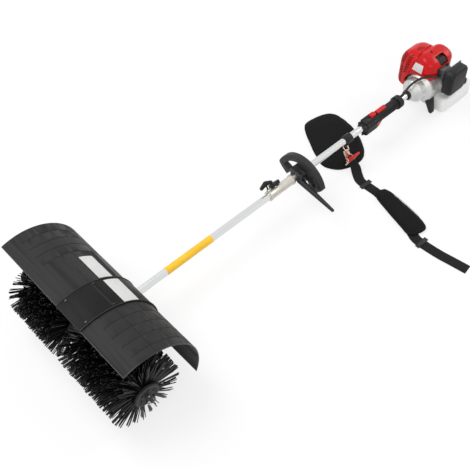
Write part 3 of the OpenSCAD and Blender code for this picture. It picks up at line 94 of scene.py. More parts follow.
# Camera as fitted to the photograph: its angles, pixels of the picture, and the eye's place from the boom
TURN, TILT, ROLL = math.radians(49.31), math.radians(51.49), math.radians(-2.72)
PHOTO_PX, FOCAL_PX, SENSOR, FAR_CLIP = 470, 730.8, 36, 50
AIM_Y, EYE_BACK, EYE_RIGHT, EYE_UP = 700, 2513.6, -59.5, -91.3
back = Vector((math.sin(TURN) * math.cos(TILT), -math.cos(TURN) * math.cos(TILT), math.sin(TILT)))
level_right = Vector((math.cos(TURN), math.sin(TURN), 0))
level_up = back.cross(level_right)
right = level_right * math.cos(ROLL) + level_up * math.sin(ROLL)
up = -level_right * math.sin(ROLL) + level_up * math.cos(ROLL)
eye = M(0, AIM_Y, 0) + (back * EYE_BACK + right * EYE_RIGHT + up * EYE_UP) / 1000
cam = add_object("camera", bpy.data.cameras.new("camera"))
cam.matrix_world = Matrix((right, up, back)).transposed().to_4x4()
cam.location = eye
cam.data.sensor_width = SENSOR
cam.data.lens = FOCAL_PX / PHOTO_PX * SENSOR
cam.data.clip_end = FAR_CLIP
scene.camera = cam


def pixel_ray(px, py):
    """Direction from the eye through a pixel of the photograph"""
    mid = PHOTO_PX / 2
    return right * (px - mid) / FOCAL_PX - up * (py - mid) / FOCAL_PX - back


# Materials: sockets of the colour mixer, the part of a noise that is used, and what all materials share.
# The wave node turns by WAVE_RATE radians in each unit of its scale.
MIX_FACTOR, MIX_FIRST, MIX_SECOND, MIX_COLOUR = 0, 6, 7, 2
NOISE_LOW, NOISE_HIGH = 0.3, 0.7
EDGE_LOW, EDGE_HIGH, WORN_GAIN, WORN_LIFT = 0.52, 0.6, 1.5, 0.06
GRAIN_DEPTH, COAT_ROUGH, LEAST_ROUGH = 0.0003, 0.12, 0.03
WAVE_RATE, WAVE_BEND, CLOTH_NOISE, CLOTH_UNEVEN = 20, 0.6, 30.0, 0.7
CLOTH_DARK, CLOTH_PALE, CLOTH_BUMP, CLOTH_SPEC = 0.6, 1.5, 0.5, 0.15


def new_material(name):
    material = bpy.data.materials.new(name)
    material.use_nodes = True
    return material, material.node_tree, material.node_tree.nodes["Principled BSDF"]


def link(tree, source, output, target, socket):
    tree.links.new(source.outputs[output], target.inputs[socket])


def set_inputs(node, values):
    for name, value in values.items():
        node.inputs[name].default_value = value


def new(tree, kind, **values):
    """Node whose named values are inputs where it has such an input, and settings otherwise"""
    node = tree.nodes.new(kind)
    for name, value in values.items():
        if name in node.inputs:
            node.inputs[name].default_value = value
        else:
            setattr(node, name, value)
    return node


def mixed(tree, first, second, source, output):
    """Mix of two colours by a node's output"""
    mix = new(tree, "ShaderNodeMix", data_type="RGBA")
    set_inputs(mix, {MIX_FIRST: (*first, 1), MIX_SECOND: (*second, 1)})
    link(tree, source, output, mix, MIX_FACTOR)
    return mix


def ranged(tree, source, output, low, high, to_low=0.0, to_high=1.0):
    """A node's output moved from one range of values to another"""
    node = new(tree, "ShaderNodeMapRange")
    set_inputs(node, {"From Min": low, "From Max": high, "To Min": to_low, "To Max": to_high})
    link(tree, source, output, node, "Value")
    return node


def placed(tree, **values):
    """The object's own coordinates, scaled or turned"""
    node = new(tree, "ShaderNodeMapping", **values)
    link(tree, new(tree, "ShaderNodeTexCoord"), "Object", node, "Vector")
    return node


def mottled(name, base, rough, metal=0.0, vary=0.18, patch=7.0, grain=600.0, bump=0.2, stretch=(1, 1, 1),
            coat=0.0, spec=0.5, wear=0.0, spread=0.07):
    """Material with uneven colour and roughness, a fine grain, and paler edges where it has wear"""
    material, tree, surface = new_material(name)
    place = placed(tree, Scale=stretch)
    uneven = new(tree, "ShaderNodeTexNoise", Scale=patch, Detail=5.0, Roughness=0.6)
    fine = new(tree, "ShaderNodeTexNoise", Scale=grain, Detail=3.0)
    for node in (uneven, fine):
        link(tree, place, "Vector", node, "Vector")
    tone = ranged(tree, uneven, "Fac", NOISE_LOW, NOISE_HIGH)
    darker, paler = [c * (1 - vary) for c in base], [min(1, c * (1 + vary)) for c in base]
    colour = mixed(tree, darker, paler, tone, "Result")
    if wear:
        edge = ranged(tree, new(tree, "ShaderNodeNewGeometry"), "Pointiness", EDGE_LOW, EDGE_HIGH, 0.0, wear)
        worn = mixed(tree, base, [min(1, c * WORN_GAIN + WORN_LIFT) for c in base], edge, "Result")
        link(tree, colour, MIX_COLOUR, worn, MIX_FIRST)
        colour = worn
    link(tree, colour, MIX_COLOUR, surface, "Base Color")
    smoothest, roughest = max(LEAST_ROUGH, rough - spread), min(1, rough + spread)
    dull = ranged(tree, uneven, "Fac", NOISE_LOW, NOISE_HIGH, smoothest, roughest)
    link(tree, dull, "Result", surface, "Roughness")
    relief = new(tree, "ShaderNodeBump", Strength=bump, Distance=GRAIN_DEPTH)
    link(tree, fine, "Fac", relief, "Height")
    link(tree, relief, "Normal", surface, "Normal")
    set_inputs(surface, {"Metallic": metal, "Coat Weight": coat, "Coat Roughness": COAT_ROUGH,
                         "Specular IOR Level": spec})
    return material


def weave(name, base, pitch, sheen, rough=0.85, twill=0.0, depth=0.0005):
    """Material of two crossing sets of threads, one thread to each pitch"""
    material, tree, surface = new_material(name)
    place = placed(tree, Rotation=(0, 0, twill))
    scale = 2 * math.pi / (WAVE_RATE * pitch)
    warp = new(tree, "ShaderNodeTexWave", bands_direction="X", Scale=scale, Distortion=WAVE_BEND)
    weft = new(tree, "ShaderNodeTexWave", bands_direction="Y", Scale=scale, Distortion=WAVE_BEND)
    uneven = new(tree, "ShaderNodeTexNoise", Scale=CLOTH_NOISE, Detail=5.0)
    for node in (warp, weft, uneven):
        link(tree, place, "Vector", node, "Vector")
    threads = new(tree, "ShaderNodeMath", operation="MULTIPLY")
    link(tree, warp, "Fac", threads, 0)
    link(tree, weft, "Fac", threads, 1)
    tone = new(tree, "ShaderNodeMath", operation="MULTIPLY_ADD")
    link(tree, uneven, "Fac", tone, 0)
    set_inputs(tone, {1: CLOTH_UNEVEN})
    link(tree, threads, 0, tone, 2)
    colour = mixed(tree, [c * CLOTH_DARK for c in base], [min(1, c * CLOTH_PALE) for c in base], tone, 0)
    link(tree, colour, MIX_COLOUR, surface, "Base Color")
    relief = new(tree, "ShaderNodeBump", Strength=CLOTH_BUMP, Distance=depth)
    link(tree, threads, 0, relief, "Height")
    link(tree, relief, "Normal", surface, "Normal")
    set_inputs(surface, {"Roughness": rough, "Sheen Weight": sheen, "Specular IOR Level": CLOTH_SPEC})
    return material


MAT = {
    "hood": mottled("hood_plastic", (0.0068, 0.0065, 0.0063), 0.48, vary=0.22, patch=5, grain=900, bump=0.25,
                    spec=0.09, wear=0.35),
    "black": mottled("black_plastic", (0.0085, 0.0085, 0.009), 0.44, vary=0.2, grain=1200, bump=0.25,
                     spec=0.16, wear=0.5),
    "gloss_black": mottled("gloss_black", (0.009, 0.009, 0.0095), 0.26, vary=0.2, grain=700, bump=0.06,
                           spec=0.4, coat=0.1),
    "rubber": mottled("rubber", (0.014, 0.014, 0.014), 0.52, vary=0.25, grain=1500, bump=0.3, spec=0.3,
                      wear=0.3),
    "bristle": mottled("bristle", (0.006, 0.006, 0.0062), 0.36, vary=0.5, patch=90, grain=500, bump=0.1,
                       spec=0.4),
    "core": mottled("hub_plastic", (0.014, 0.0132, 0.0125), 0.5, vary=0.2, grain=600, bump=0.3, spec=0.2,
                    wear=0.5),
    "tube": mottled("bright_tube", (0.7, 0.705, 0.71), 0.18, metal=1, vary=0.06, patch=30, grain=900,
                    bump=0.1, stretch=(9, 0.15, 9), spread=0.05),
    "casting": mottled("cast_alloy", (0.58, 0.58, 0.57), 0.42, metal=0.8, vary=0.1, patch=40, grain=900,
                       bump=0.5),
    "dark_casting": mottled("dark_casting", (0.05, 0.05, 0.052), 0.42, metal=0.4, vary=0.25, patch=30,
                            grain=900, bump=0.5, wear=0.6),
    "steel": mottled("steel", (0.6, 0.6, 0.61), 0.26, metal=1, vary=0.1, patch=60, grain=1500, bump=0.12),
    "black_steel": mottled("black_steel", (0.02, 0.02, 0.02), 0.4, metal=0.5, vary=0.2, patch=80, grain=900,
                           bump=0.2, wear=0.5),
    "zinc": mottled("zinc", (0.7, 0.54, 0.44), 0.25, metal=1, vary=0.15, patch=80, grain=900, bump=0.15),
    "coupler": mottled("satin_alloy", (0.6, 0.57, 0.51), 0.34, metal=0.9, vary=0.08, patch=40, grain=900,
                       bump=0.2),
    "red": mottled("red_plastic", (0.56, 0.004, 0.006), 0.28, vary=0.12, patch=9, grain=350, bump=0.05,
                   coat=0.06, spec=0.2),
    "red_soft": mottled("red_lever", (0.56, 0.01, 0.012), 0.38, vary=0.12, patch=40, grain=900, bump=0.15,
                        spec=0.35),
    "yellow": mottled("yellow_sleeve", (0.86, 0.5, 0.015), 0.4, vary=0.1, patch=25, grain=300, bump=0.15),
    "plate": mottled("blank_plate", (0.62, 0.62, 0.61), 0.45, vary=0.05, patch=20, grain=400, bump=0.06,
                     spec=0.3),
    # Near-black: painted shade in the cover's slots and the hub's holes, and the own colour of the recess
    # screw
    "dark": mottled("black_and_painted_shade", (0.006, 0.006, 0.006), 0.7, vary=0.3, grain=500, bump=0.2, spec=0.1),
    "sheet": mottled("muffler_steel", (0.2, 0.2, 0.2), 0.45, metal=0.7, vary=0.25, patch=50, grain=900,
                     bump=0.3),
    "pad": weave("pad_fabric", (0.005, 0.005, 0.0054), 0.0022, 0.01),
    "binding": weave("binding_tape", (0.007, 0.007, 0.0075), 0.0016, 0.0, rough=0.8, twill=0.7),
    "webbing": weave("webbing", (0.009, 0.009, 0.0095), 0.0024, 0.03, rough=0.75, twill=0.5, depth=0.0008),
    "thread": mottled("thread", (0.014, 0.014, 0.015), 0.7, vary=0.3, patch=200, grain=1500, bump=0.4,
                      spec=0.2),
    "tank": mottled("tank_plastic", (0.93, 0.93, 0.915), 0.36, vary=0.05, patch=12, grain=500, bump=0.1),
}
set_inputs(MAT["tank"].node_tree.nodes["Principled BSDF"],
           {"Transmission Weight": 0.12, "Subsurface Weight": 0.3, "Subsurface Radius": (0.01, 0.01, 0.01)})

# Making pieces: angles in degrees for sharp, rounded and flattened edges, and distances to weld in metres
SHARP, LATHE_SHARP, BEVEL_ANGLE, FLAT_ANGLE = 35, 30, 32, 0.6
TUBE_SHARP, PAD_SHARP, STRAP_SHARP, PLATE_SHARP = 60, 70, 50, 40
CHAMFER_STEPS, BEVEL_STEPS, ROUND_STEPS, NODE_WELD, LATHE_WELD = 1, 2, 3, 0.00001, 0.000002


def finish_piece(o, mat, body, angle=SHARP):
    o.data.materials.clear()
    o.data.materials.append(MAT[mat])
    o.data.shade_smooth()
    o.data.set_sharp_from_angle(angle=math.radians(angle))
    if body:
        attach(o, body)
    return o


def piece(name, verts, faces, mat, body, angle=SHARP):
    mesh = bpy.data.meshes.new(name)
    mesh.from_pydata([tuple(v) for v in verts], [], faces)
    mesh.update()
    return finish_piece(add_object(name, mesh), mat, body, angle)


def add_mesh(name, bm):
    mesh = bpy.data.meshes.new(name)
    bm.to_mesh(mesh)
    bm.free()
    return add_object(name, mesh)


def from_bm(name, bm, mat, body, angle=SHARP):
    bmesh.ops.recalc_face_normals(bm, faces=bm.faces)
    return finish_piece(add_mesh(name, bm), mat, body, angle)


def bm_of(verts, faces):
    bm = bmesh.new()
    made = [bm.verts.new(v) for v in verts]
    for f in faces:
        bm.faces.new([made[k] for k in f])
    return bm


def apply_modifiers(o):
    bpy.context.view_layer.update()
    deps = bpy.context.evaluated_depsgraph_get()
    mesh = bpy.data.meshes.new_from_object(o.evaluated_get(deps))
    o.modifiers.clear()
    o.data = mesh


def soften(node, mat, width):
    """A copy of a CAD node with rounded edges, which stands for it"""
    original = nodes[node]
    bm = bmesh.new()
    bm.from_mesh(original.data)
    bmesh.ops.remove_doubles(bm, verts=bm.verts, dist=NODE_WELD)
    bmesh.ops.dissolve_limit(bm, angle_limit=math.radians(FLAT_ANGLE), verts=bm.verts, edges=bm.edges)
    o = add_mesh(node + ".look", bm)
    if width:
        bevel = o.modifiers.new("bevel", "BEVEL")
        bevel.width = width
        bevel.segments = BEVEL_STEPS
        bevel.limit_method = "ANGLE"
        bevel.angle_limit = math.radians(BEVEL_ANGLE)
        apply_modifiers(o)
    finish_piece(o, mat, original["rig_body"], BEVEL_ANGLE)
    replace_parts(o, node)
    return o


def paint(node, mat):
    nodes[node].data.materials.clear()
    nodes[node].data.materials.append(MAT[mat])


def ring_faces(rings, sides, closed=False):
    """Quads between rings of points that follow each other, and back to the first ring where closed"""
    faces = []
    for i in range(rings if closed else rings - 1):
        j = (i + 1) % rings
        for k in range(sides):
            after = (k + 1) % sides
            faces.append((i * sides + k, i * sides + after, j * sides + after, j * sides + k))
    return faces


def shut_faces(rings, sides):
    """Quads between rings of points, with a face over each end"""
    ends = [tuple(reversed(range(sides))), tuple(range((rings - 1) * sides, rings * sides))]
    return ring_faces(rings, sides) + ends


def shifted(faces, first, flip):
    """The same faces on points that start later, turned over where flip is true"""
    moved = [tuple(first + k for k in f) for f in faces]
    return [f[::-1] for f in moved] if flip else moved


def grid_faces(rows, columns):
    """Quads of a grid of points listed row by row, and the pairs of points that follow each other round it"""
    step = columns + 1
    quads = []
    for i in range(rows):
        for j in range(columns):
            a = i * step + j
            quads.append((a, a + 1, a + step + 1, a + step))
    rim = [i * step for i in range(rows + 1)] + [rows * step + j for j in range(1, step)]
    rim += [i * step + columns for i in range(rows - 1, -1, -1)] + list(range(columns - 1, 0, -1))
    return quads, list(zip(rim, rim[1:] + rim[:1]))


def tube_mesh(points, radius, sides=8, closed=False):
    """Rings along a route, with each ring turned as little as possible from the one before"""
    n = len(points)
    radii = radius if isinstance(radius, list) else [radius] * n
    verts, u = [], None
    for i, p in enumerate(points):
        before = points[(i - 1) % n] if closed or i else p
        after = points[(i + 1) % n] if closed or i < n - 1 else p
        d = (after - before).normalized()
        if u is None:
            u = d.orthogonal().normalized()
        u = (u - d * u.dot(d)).normalized()
        w = d.cross(u)
        for k in range(sides):
            t = 2 * math.pi * k / sides
            verts.append(p + (u * math.cos(t) + w * math.sin(t)) * radii[i])
    return verts, ring_faces(n, sides, True) if closed else shut_faces(n, sides)


def spline(points, steps, closed=False):
    """Smooth curve through all points, with some steps from each point to the next"""
    p = [Vector(q) for q in points]
    n = len(p)
    out = []
    for i in range(n if closed else n - 1):
        a = p[(i - 1) % n] if closed or i else p[0] * 2 - p[1]
        b, c = p[i], p[(i + 1) % n]
        d = p[(i + 2) % n] if closed or i < n - 2 else p[n - 1] * 2 - p[n - 2]
        for s in range(steps):
            t = s / steps
            out.append(0.5 * (2 * b + (c - a) * t + (2 * a - 5 * b + 4 * c - d) * t * t
                              + (3 * b - a - 3 * c + d) * t ** 3))
    if not closed:
        out.append(p[-1])
    return out


def lathe(name, profile, origin, axis, mat, body, sides=48):
    """Profile of (radius, along) in millimetres turned round an axis"""
    axis = Vector(axis).normalized()
    u = axis.orthogonal().normalized()
    w = axis.cross(u)
    verts, faces, n = [], [], len(profile)
    for k in range(sides):
        t = 2 * math.pi * k / sides
        for r, z in profile:
            verts.append(origin + (u * math.cos(t) * r + w * math.sin(t) * r + axis * z) / 1000)
    for k in range(sides):
        after = (k + 1) % sides
        for i in range(n - 1):
            faces.append((k * n + i, after * n + i, after * n + i + 1, k * n + i + 1))
    bm = bm_of(verts, faces)
    bmesh.ops.remove_doubles(bm, verts=bm.verts, dist=LATHE_WELD)
    bmesh.ops.holes_fill(bm, edges=[e for e in bm.edges if e.is_boundary], sides=0)
    return from_bm(name, bm, mat, body, LATHE_SHARP)


def block(bm, mid, size, turn, bevel, segments=BEVEL_STEPS):
    """Box with rounded edges added to a mesh; sizes in millimetres"""
    made = bmesh.ops.create_cube(bm, size=1.0)
    for v in made["verts"]:
        v.co = mid + turn @ Vector([c * s / 1000 for c, s in zip(v.co, size)])
    edges = list(dict.fromkeys(e for v in made["verts"] for e in v.link_edges))
    bmesh.ops.bevel(bm, geom=edges, offset=bevel / 1000, segments=segments, profile=0.5, affect="EDGES")


def block_ring(bm, count, first, step, axis, mid, reach, size, bevel, segments=BEVEL_STEPS):
    """Blocks at even angles round an axis, in degrees and millimetres"""
    for i in range(count):
        turn = Matrix.Rotation(math.radians(i * step + first), 3, axis)
        block(bm, mid + turn @ Vector((reach / 1000, 0, 0)), size, turn, bevel, segments)


def disc(bm, mid, axis, r, h, sides, bevel=0.0):
    """Round disc added to a mesh, narrower at its far end by the bevel; sizes in millimetres"""
    axis = Vector(axis).normalized()
    rot = UP.rotation_difference(axis).to_matrix().to_4x4()
    place = Matrix.Translation(mid + axis * h / 2000) @ rot
    bmesh.ops.create_cone(bm, cap_ends=True, segments=sides, radius1=r / 1000, radius2=(r - bevel) / 1000,
                          depth=h / 1000, matrix=place)


# Bristles: tufts of bent strands that stand in a sleeve on each drum core, and stop short on the far drum
BRUSH_START, BRUSH_LEN, FAR_BARE = 32.4, 260.0, 56.0
TUFT_ROWS, TUFTS_AROUND, STRANDS = 15, 24, 5
ROOT_R, TIP_R, TIP_INNER, TIP_OUTER = 28, 123.6, 26.0, 297.0
SLEEVE_INNER, SLEEVE_OUTER, SLEEVE_BORE, SLEEVE_R, SLEEVE_SIDES = 32.7, 292.1, 26.2, 29.2, 40
# How far tufts and strands differ: turn, sweep and bow in degrees, lean, shift and shortness in millimetres.
# The trail is a sweep that all tufts share.
TUFT_TURN, TUFT_LEAN, TUFT_SWEEP, TUFT_TRAIL, TUFT_SHORT = 1.5, 2.0, 1.6, 1.0, 2.0
STRAND_SHIFT, STRAND_TURN, STRAND_LEAN, STRAND_SWEEP, STRAND_SHORT, STRAND_BOW = 4, 4, 2.2, 1.2, 2.5, 0.7
# Strands splay outwards near both ends of a drum, from these places on and by these shares
OUTER_FROM, OUTER_SPLAY, INNER_FROM, INNER_SPLAY = 255, 0.26, 75, 0.45
# Half width of a strand, and its rings as shares of its length and width; its root has no face in the sleeve
STRAND_HALF = (1.5, 2.0)
STRAND_RINGS = ((0.0, 1.0), (0.5, 1.0), (1.0, 0.85))
STRAND_SIDES, LEAN_POWER, SWEEP_POWER = 4, 1.3, 1.5
STRAND_FACES = shut_faces(len(STRAND_RINGS), STRAND_SIDES)
STRAND_FACES.pop(-2)


def strand(side, root, tip, bow, thick, twist):
    """Points of one strand from root to tip, each given as place along the drum, angle and radius"""
    points = []
    for share, width in STRAND_RINGS:
        x = root[0] + (tip[0] - root[0]) * share ** LEAN_POWER
        a = root[1] + (tip[1] - root[1]) * share ** SWEEP_POWER + bow * math.sin(math.pi * share)
        r = root[2] + (tip[2] - root[2]) * share
        for k in range(STRAND_SIDES):
            q = 2 * math.pi / STRAND_SIDES * k + twist
            along, across = thick * width * math.cos(q), thick * width * math.sin(q)
            points.append(M(side * (x + along), r * math.cos(a) - across * math.sin(a),
                            r * math.sin(a) + across * math.cos(a)))
    return points


def brush(name, side):
    """All strands of one drum and their sleeve; side is 1 for the near drum and -1 for the far one"""
    verts, faces = [], []
    bare = FAR_BARE if side < 0 else 0.0
    pitch = (BRUSH_LEN - bare) / TUFT_ROWS
    for i in range(TUFT_ROWS):
        for j in range(TUFTS_AROUND):
            deg = (j + (i % 2) / 2) * 360 / TUFTS_AROUND + rnd.uniform(-TUFT_TURN, TUFT_TURN)
            lean = rnd.gauss(0, TUFT_LEAN)
            sweep = math.radians(rnd.gauss(0, TUFT_SWEEP) + TUFT_TRAIL)
            reach = TIP_R - abs(rnd.gauss(0, TUFT_SHORT))
            for s in range(STRANDS):
                x0 = BRUSH_START + pitch * (i + 0.5) + rnd.uniform(-STRAND_SHIFT, STRAND_SHIFT)
                a0 = math.radians(deg + rnd.uniform(-STRAND_TURN, STRAND_TURN))
                splay = max(0.0, x0 - OUTER_FROM + bare) * OUTER_SPLAY
                splay -= max(0.0, INNER_FROM - x0) * INNER_SPLAY
                x1 = min(TIP_OUTER - bare, max(TIP_INNER, x0 + lean + rnd.gauss(0, STRAND_LEAN) + splay))
                a1 = a0 + sweep + math.radians(rnd.gauss(0, STRAND_SWEEP))
                r1 = reach - rnd.uniform(0, STRAND_SHORT)
                bow = math.radians(rnd.gauss(0, STRAND_BOW))
                thick = rnd.uniform(*STRAND_HALF)
                faces += shifted(STRAND_FACES, len(verts), side < 0)
                verts += strand(side, (x0, a0, ROOT_R), (x1, a1, r1), bow, thick, s)
    sleeve = ((SLEEVE_INNER, SLEEVE_BORE), (SLEEVE_INNER, SLEEVE_R), (SLEEVE_OUTER, SLEEVE_R),
              (SLEEVE_OUTER, SLEEVE_BORE))
    faces += shifted(ring_faces(len(sleeve), SLEEVE_SIDES, True), len(verts), side > 0)
    for x, r in sleeve:
        verts += [round_axle(side * x, r, 2 * math.pi * k / SLEEVE_SIDES) for k in range(SLEEVE_SIDES)]
    return piece(name, verts, faces, "bristle", "drums", TUBE_SHARP)


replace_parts(brush("left_brush", 1), "left_bristles")
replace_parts(brush("right_brush", -1), "right_bristles")

# Padded harness pieces: outlines as shares of length and width, and rings as shares of outline and thickness
HOOK_Y, STRAP_X, STRAP_REACH = 1185.5, 30.5, 600
HIP_OUTLINE = [(0.505, -0.1), (0.45, 0.15), (0.18, 0.39), (-0.15, 0.5), (-0.4, 0.44), (-0.5, 0.1),
               (-0.42, -0.13), (0.05, -0.44), (0.25, -0.5), (0.43, -0.36)]
HIP_RINGS = [(0.9, 0.02), (0.985, 0.12), (1, 0.3), (0.975, 0.55), (0.93, 0.58), (0.86, 0.78), (0.6, 0.97),
             (0.3, 1.0)]
HIP_SIZE, HIP_MID, HIP_TURN = (290, 248, 15.5), (-105, 1236, 0), 0
SHOULDER_OUTLINE = [(0.51, -0.08), (0.485, 0.46), (0.24, 0.61), (-0.28, 0.5), (-0.48, 0.32), (-0.5, -0.1),
                    (-0.42, -0.36), (-0.1, -0.46), (0.36, -0.5), (0.47, -0.38)]
SHOULDER_RINGS = [(0.82, 0.02), (0.97, 0.2), (1, 0.42), (0.95, 0.62), (0.88, 0.62), (0.76, 0.9), (0.4, 1.0)]
SHOULDER_SIZE, SHOULDER_TURN = (232, 80, 12.5), -13
SHOULDER_MID = (STRAP_X + 0.458 * STRAP_REACH, HOOK_Y - 0.082 * STRAP_REACH, 2.9)
# Pads are drawn larger by what the remesh and the smoothing take off
PAD_GROWTH, OUTLINE_STEPS, PAD_VOXEL = 1.03, 6, 0.0045
PAD_PRESSURE, PAD_STRETCH, PAD_BEND, PAD_QUALITY, SWELL_FRAMES, SWELL_CAP = 4.0, 25, 1.5, 4, 16, 0.004
SMOOTH_SHARE, SMOOTH_TIMES = 0.5, 4
# Piece, material, place as shares of outline and thickness, radius in millimetres, and metres to cast from
PAD_TRIM = (("binding", "binding", 1.0, 0.3, 2.4, 0.01), ("seam", "thread", 0.9, 0.7, 0.6, 0.1))


def cloth_swell(o):
    """Swells a closed pad with air under cloth, keeps its underside flat, and caps how far a point moves"""
    remesh = o.modifiers.new("remesh", "REMESH")
    remesh.mode = "VOXEL"
    remesh.voxel_size = PAD_VOXEL
    apply_modifiers(o)
    before = [v.co.copy() for v in o.data.vertices]
    cloth = o.modifiers.new("cloth", "CLOTH")
    cloth.settings.use_pressure = True
    cloth.settings.uniform_pressure_force = PAD_PRESSURE
    cloth.settings.tension_stiffness = PAD_STRETCH
    cloth.settings.compression_stiffness = PAD_STRETCH
    cloth.settings.bending_stiffness = PAD_BEND
    cloth.settings.quality = PAD_QUALITY
    cloth.settings.effector_weights.gravity = 0
    cloth.point_cache.frame_start = 1
    cloth.point_cache.frame_end = SWELL_FRAMES
    for f in range(1, SWELL_FRAMES + 1):
        scene.frame_set(f)
    apply_modifiers(o)
    scene.frame_set(1)
    low = min(p.z for p in before)
    for v, start in zip(o.data.vertices, before):
        move = v.co - start
        if move.length > SWELL_CAP:
            move = move.normalized() * SWELL_CAP
        v.co = start + move
        v.co.z = max(v.co.z, low)
    smooth = o.modifiers.new("smooth", "SMOOTH")
    smooth.factor = SMOOTH_SHARE
    smooth.iterations = SMOOTH_TIMES
    finer = o.modifiers.new("sub", "SUBSURF")
    finer.levels = finer.render_levels = 1
    apply_modifiers(o)


def inward(loop, q, middle):
    """Level direction across a closed loop at one of its points, towards the middle"""
    along = loop[(q + 1) % len(loop)] - loop[q - 1]
    to = Vector((-along.y, along.x, 0)).normalized()
    return to if to.dot(middle - loop[q]) > 0 else -to


def padded_piece(name, node, shares, size, rings, middle, turn):
    """Cushion with a bound edge and a sewn line, which follow its outline and lie on its surface"""
    length, width, thick = size[0] * PAD_GROWTH, size[1] * PAD_GROWTH, size[2]
    place = over_floor(*middle)
    rot = Matrix.Rotation(math.radians(turn), 3, "Z")
    edge = spline([(x * length, y * width, 0) for x, y in shares], OUTLINE_STEPS, True)

    def ring(scale, height):
        return [place + rot @ Vector((p.x * scale, p.y * scale, thick * height)) / 1000 for p in edge]

    mesh = bpy.data.meshes.new(name)
    verts = [p for scale, height in rings for p in ring(scale, height)]
    mesh.from_pydata(verts, [], shut_faces(len(rings), len(edge)))
    o = add_object(name, mesh)
    cloth_swell(o)
    finish_piece(o, "pad", "machine", PAD_SHARP)
    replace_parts(o, node)
    bpy.context.view_layer.update()
    for tag, mat, scale, height, r, away in PAD_TRIM:
        drawn = ring(scale, height)
        loop = []
        for q, p in enumerate(drawn):
            to = DOWN if tag == "seam" else inward(drawn, q, place)
            hit, spot, _, _ = o.ray_cast(p - to * away, to)
            loop.append(spot if hit else p)
        v, f = tube_mesh(loop, r / 1000, closed=True)
        piece(name + "_" + tag, v, f, mat, "machine", TUBE_SHARP)


padded_piece("hip_cushion", "hip_pad", HIP_OUTLINE, HIP_SIZE, HIP_RINGS, HIP_MID, HIP_TURN)
padded_piece("shoulder_cushion", "shoulder_pad", SHOULDER_OUTLINE, SHOULDER_SIZE, SHOULDER_RINGS,
             SHOULDER_MID, SHOULDER_TURN)

# Fabric keeper on the hip cushion's tip, where the strap starts
KEEPER_X, KEEPER_H, KEEPER_SIZE, KEEPER_BEVEL = 25.1, 14.4, (10.2, 30, 16.4), 2.6
bm = bmesh.new()
block(bm, over_floor(KEEPER_X, HOOK_Y, KEEPER_H), KEEPER_SIZE, UPRIGHT, KEEPER_BEVEL, ROUND_STEPS)
from_bm("pad_keeper", bm, "binding", "machine", STRAP_SHARP)

# Webbing: its route as shares of its reach, and its height falling from the hook to the floor
STRAP = [(0, 0), (0.038, 0), (0.078, -0.022), (0.132, -0.049), (0.212, -0.049), (0.287, -0.052),
         (0.445, -0.084), (0.598, -0.14), (0.662, -0.166), (0.74, -0.166), (0.828, -0.159), (0.9, -0.148),
         (1, -0.133)]
FALL = [1, 0.75, 0.2] + [0] * (len(STRAP) - 3)
STRAP_TOP, STRAP_LOW, STRAP_STEPS = 25, 1.45, 7
# Half width, half thickness and least height in metres, and the points across as shares of the half width
STRAP_HALF, STRAP_THICK, STRAP_LEAST = 0.02, 0.0011, 0.0013
ACROSS = (-0.94, -0.5, 0, 0.5, 0.94)
route = []
for (x, y), share in zip(STRAP, FALL):
    z = STRAP_LOW + share * (STRAP_TOP - STRAP_LOW)
    route.append(over_floor(STRAP_X + x * STRAP_REACH, HOOK_Y + y * STRAP_REACH, z))
route = spline(route, STRAP_STEPS)
section = [(-STRAP_HALF, 0)] + [(STRAP_HALF * s, STRAP_THICK) for s in ACROSS]
section += [(STRAP_HALF, 0)] + [(STRAP_HALF * s, -STRAP_THICK) for s in reversed(ACROSS)]
verts = []
for i, p in enumerate(route):
    d = (route[min(i + 1, len(route) - 1)] - route[max(i - 1, 0)]).normalized()
    u = UP.cross(d).normalized()
    w = d.cross(u)
    q = p.copy()
    q.z = max(q.z, STRAP_LEAST)
    verts += [q + u * a + w * b for a, b in section]
faces = shut_faces(len(route), len(section))
strap = piece("harness_webbing", verts, faces, "webbing", "machine", STRAP_SHARP)
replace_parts(strap, "harness_strap")

# Rounded copies of the rigid nodes that show, with the width of the rounding in metres
LOOK = {}
for node, mat, width in (
        ("loop_handle", "rubber", 0.003), ("barrier_bar", "rubber", 0.002),
        ("left_throttle_shell", "black", 0.0012), ("right_throttle_shell", "black", 0.0012),
        ("throttle_trigger", "red_soft", 0.0012), ("lockout_lever", "red_soft", 0.0014),
        ("stop_switch", "red_soft", 0.0018), ("coupler_sleeve", "coupler", 0.0008),
        ("lock_pin", "black", 0.0), ("clamp_knob", "black", 0.0015), ("hanger_clamp", "black", 0.0012),
        ("harness_hook", "zinc", 0.0006), ("release_tab", "red_soft", 0.0015),
        ("strap_sliders", "black", 0.0009), ("rubber_ring", "rubber", 0.0012),
        ("clutch_housing", "casting", 0.0012), ("crankcase", "casting", 0.002), ("muffler", "sheet", 0.003),
        ("carburettor", "dark_casting", 0.0012), ("choke_lever", "black", 0.0007),
        ("air_filter_cover", "black", 0.0), ("engine_cover", "red", 0.0),
        ("starter_housing", "black", 0.0025), ("starter_grip", "black", 0.003), ("fuel_tank", "tank", 0.0),
        ("engine_stand", "black", 0.0025), ("hood_bracket", "dark_casting", 0.001),
        ("gear_case", "dark_casting", 0.0015), ("gear_case_cover", "dark_casting", 0.0015),
        ("left_drum_core", "core", 0.0015), ("right_drum_core", "core", 0.0015),
        ("hood_saddle", "hood", 0.0009), ("left_hood_panel", "hood", 0.0004),
        ("right_hood_panel", "hood", 0.0004), ("drum_axle", "black_steel", 0.0008),
        ("drum_clips", "steel", 0.0004), ("hood_bolts", "black_steel", 0.0005),
        ("fuel_cap", "black", 0.0015)):
    LOOK[node] = soften(node, mat, width)

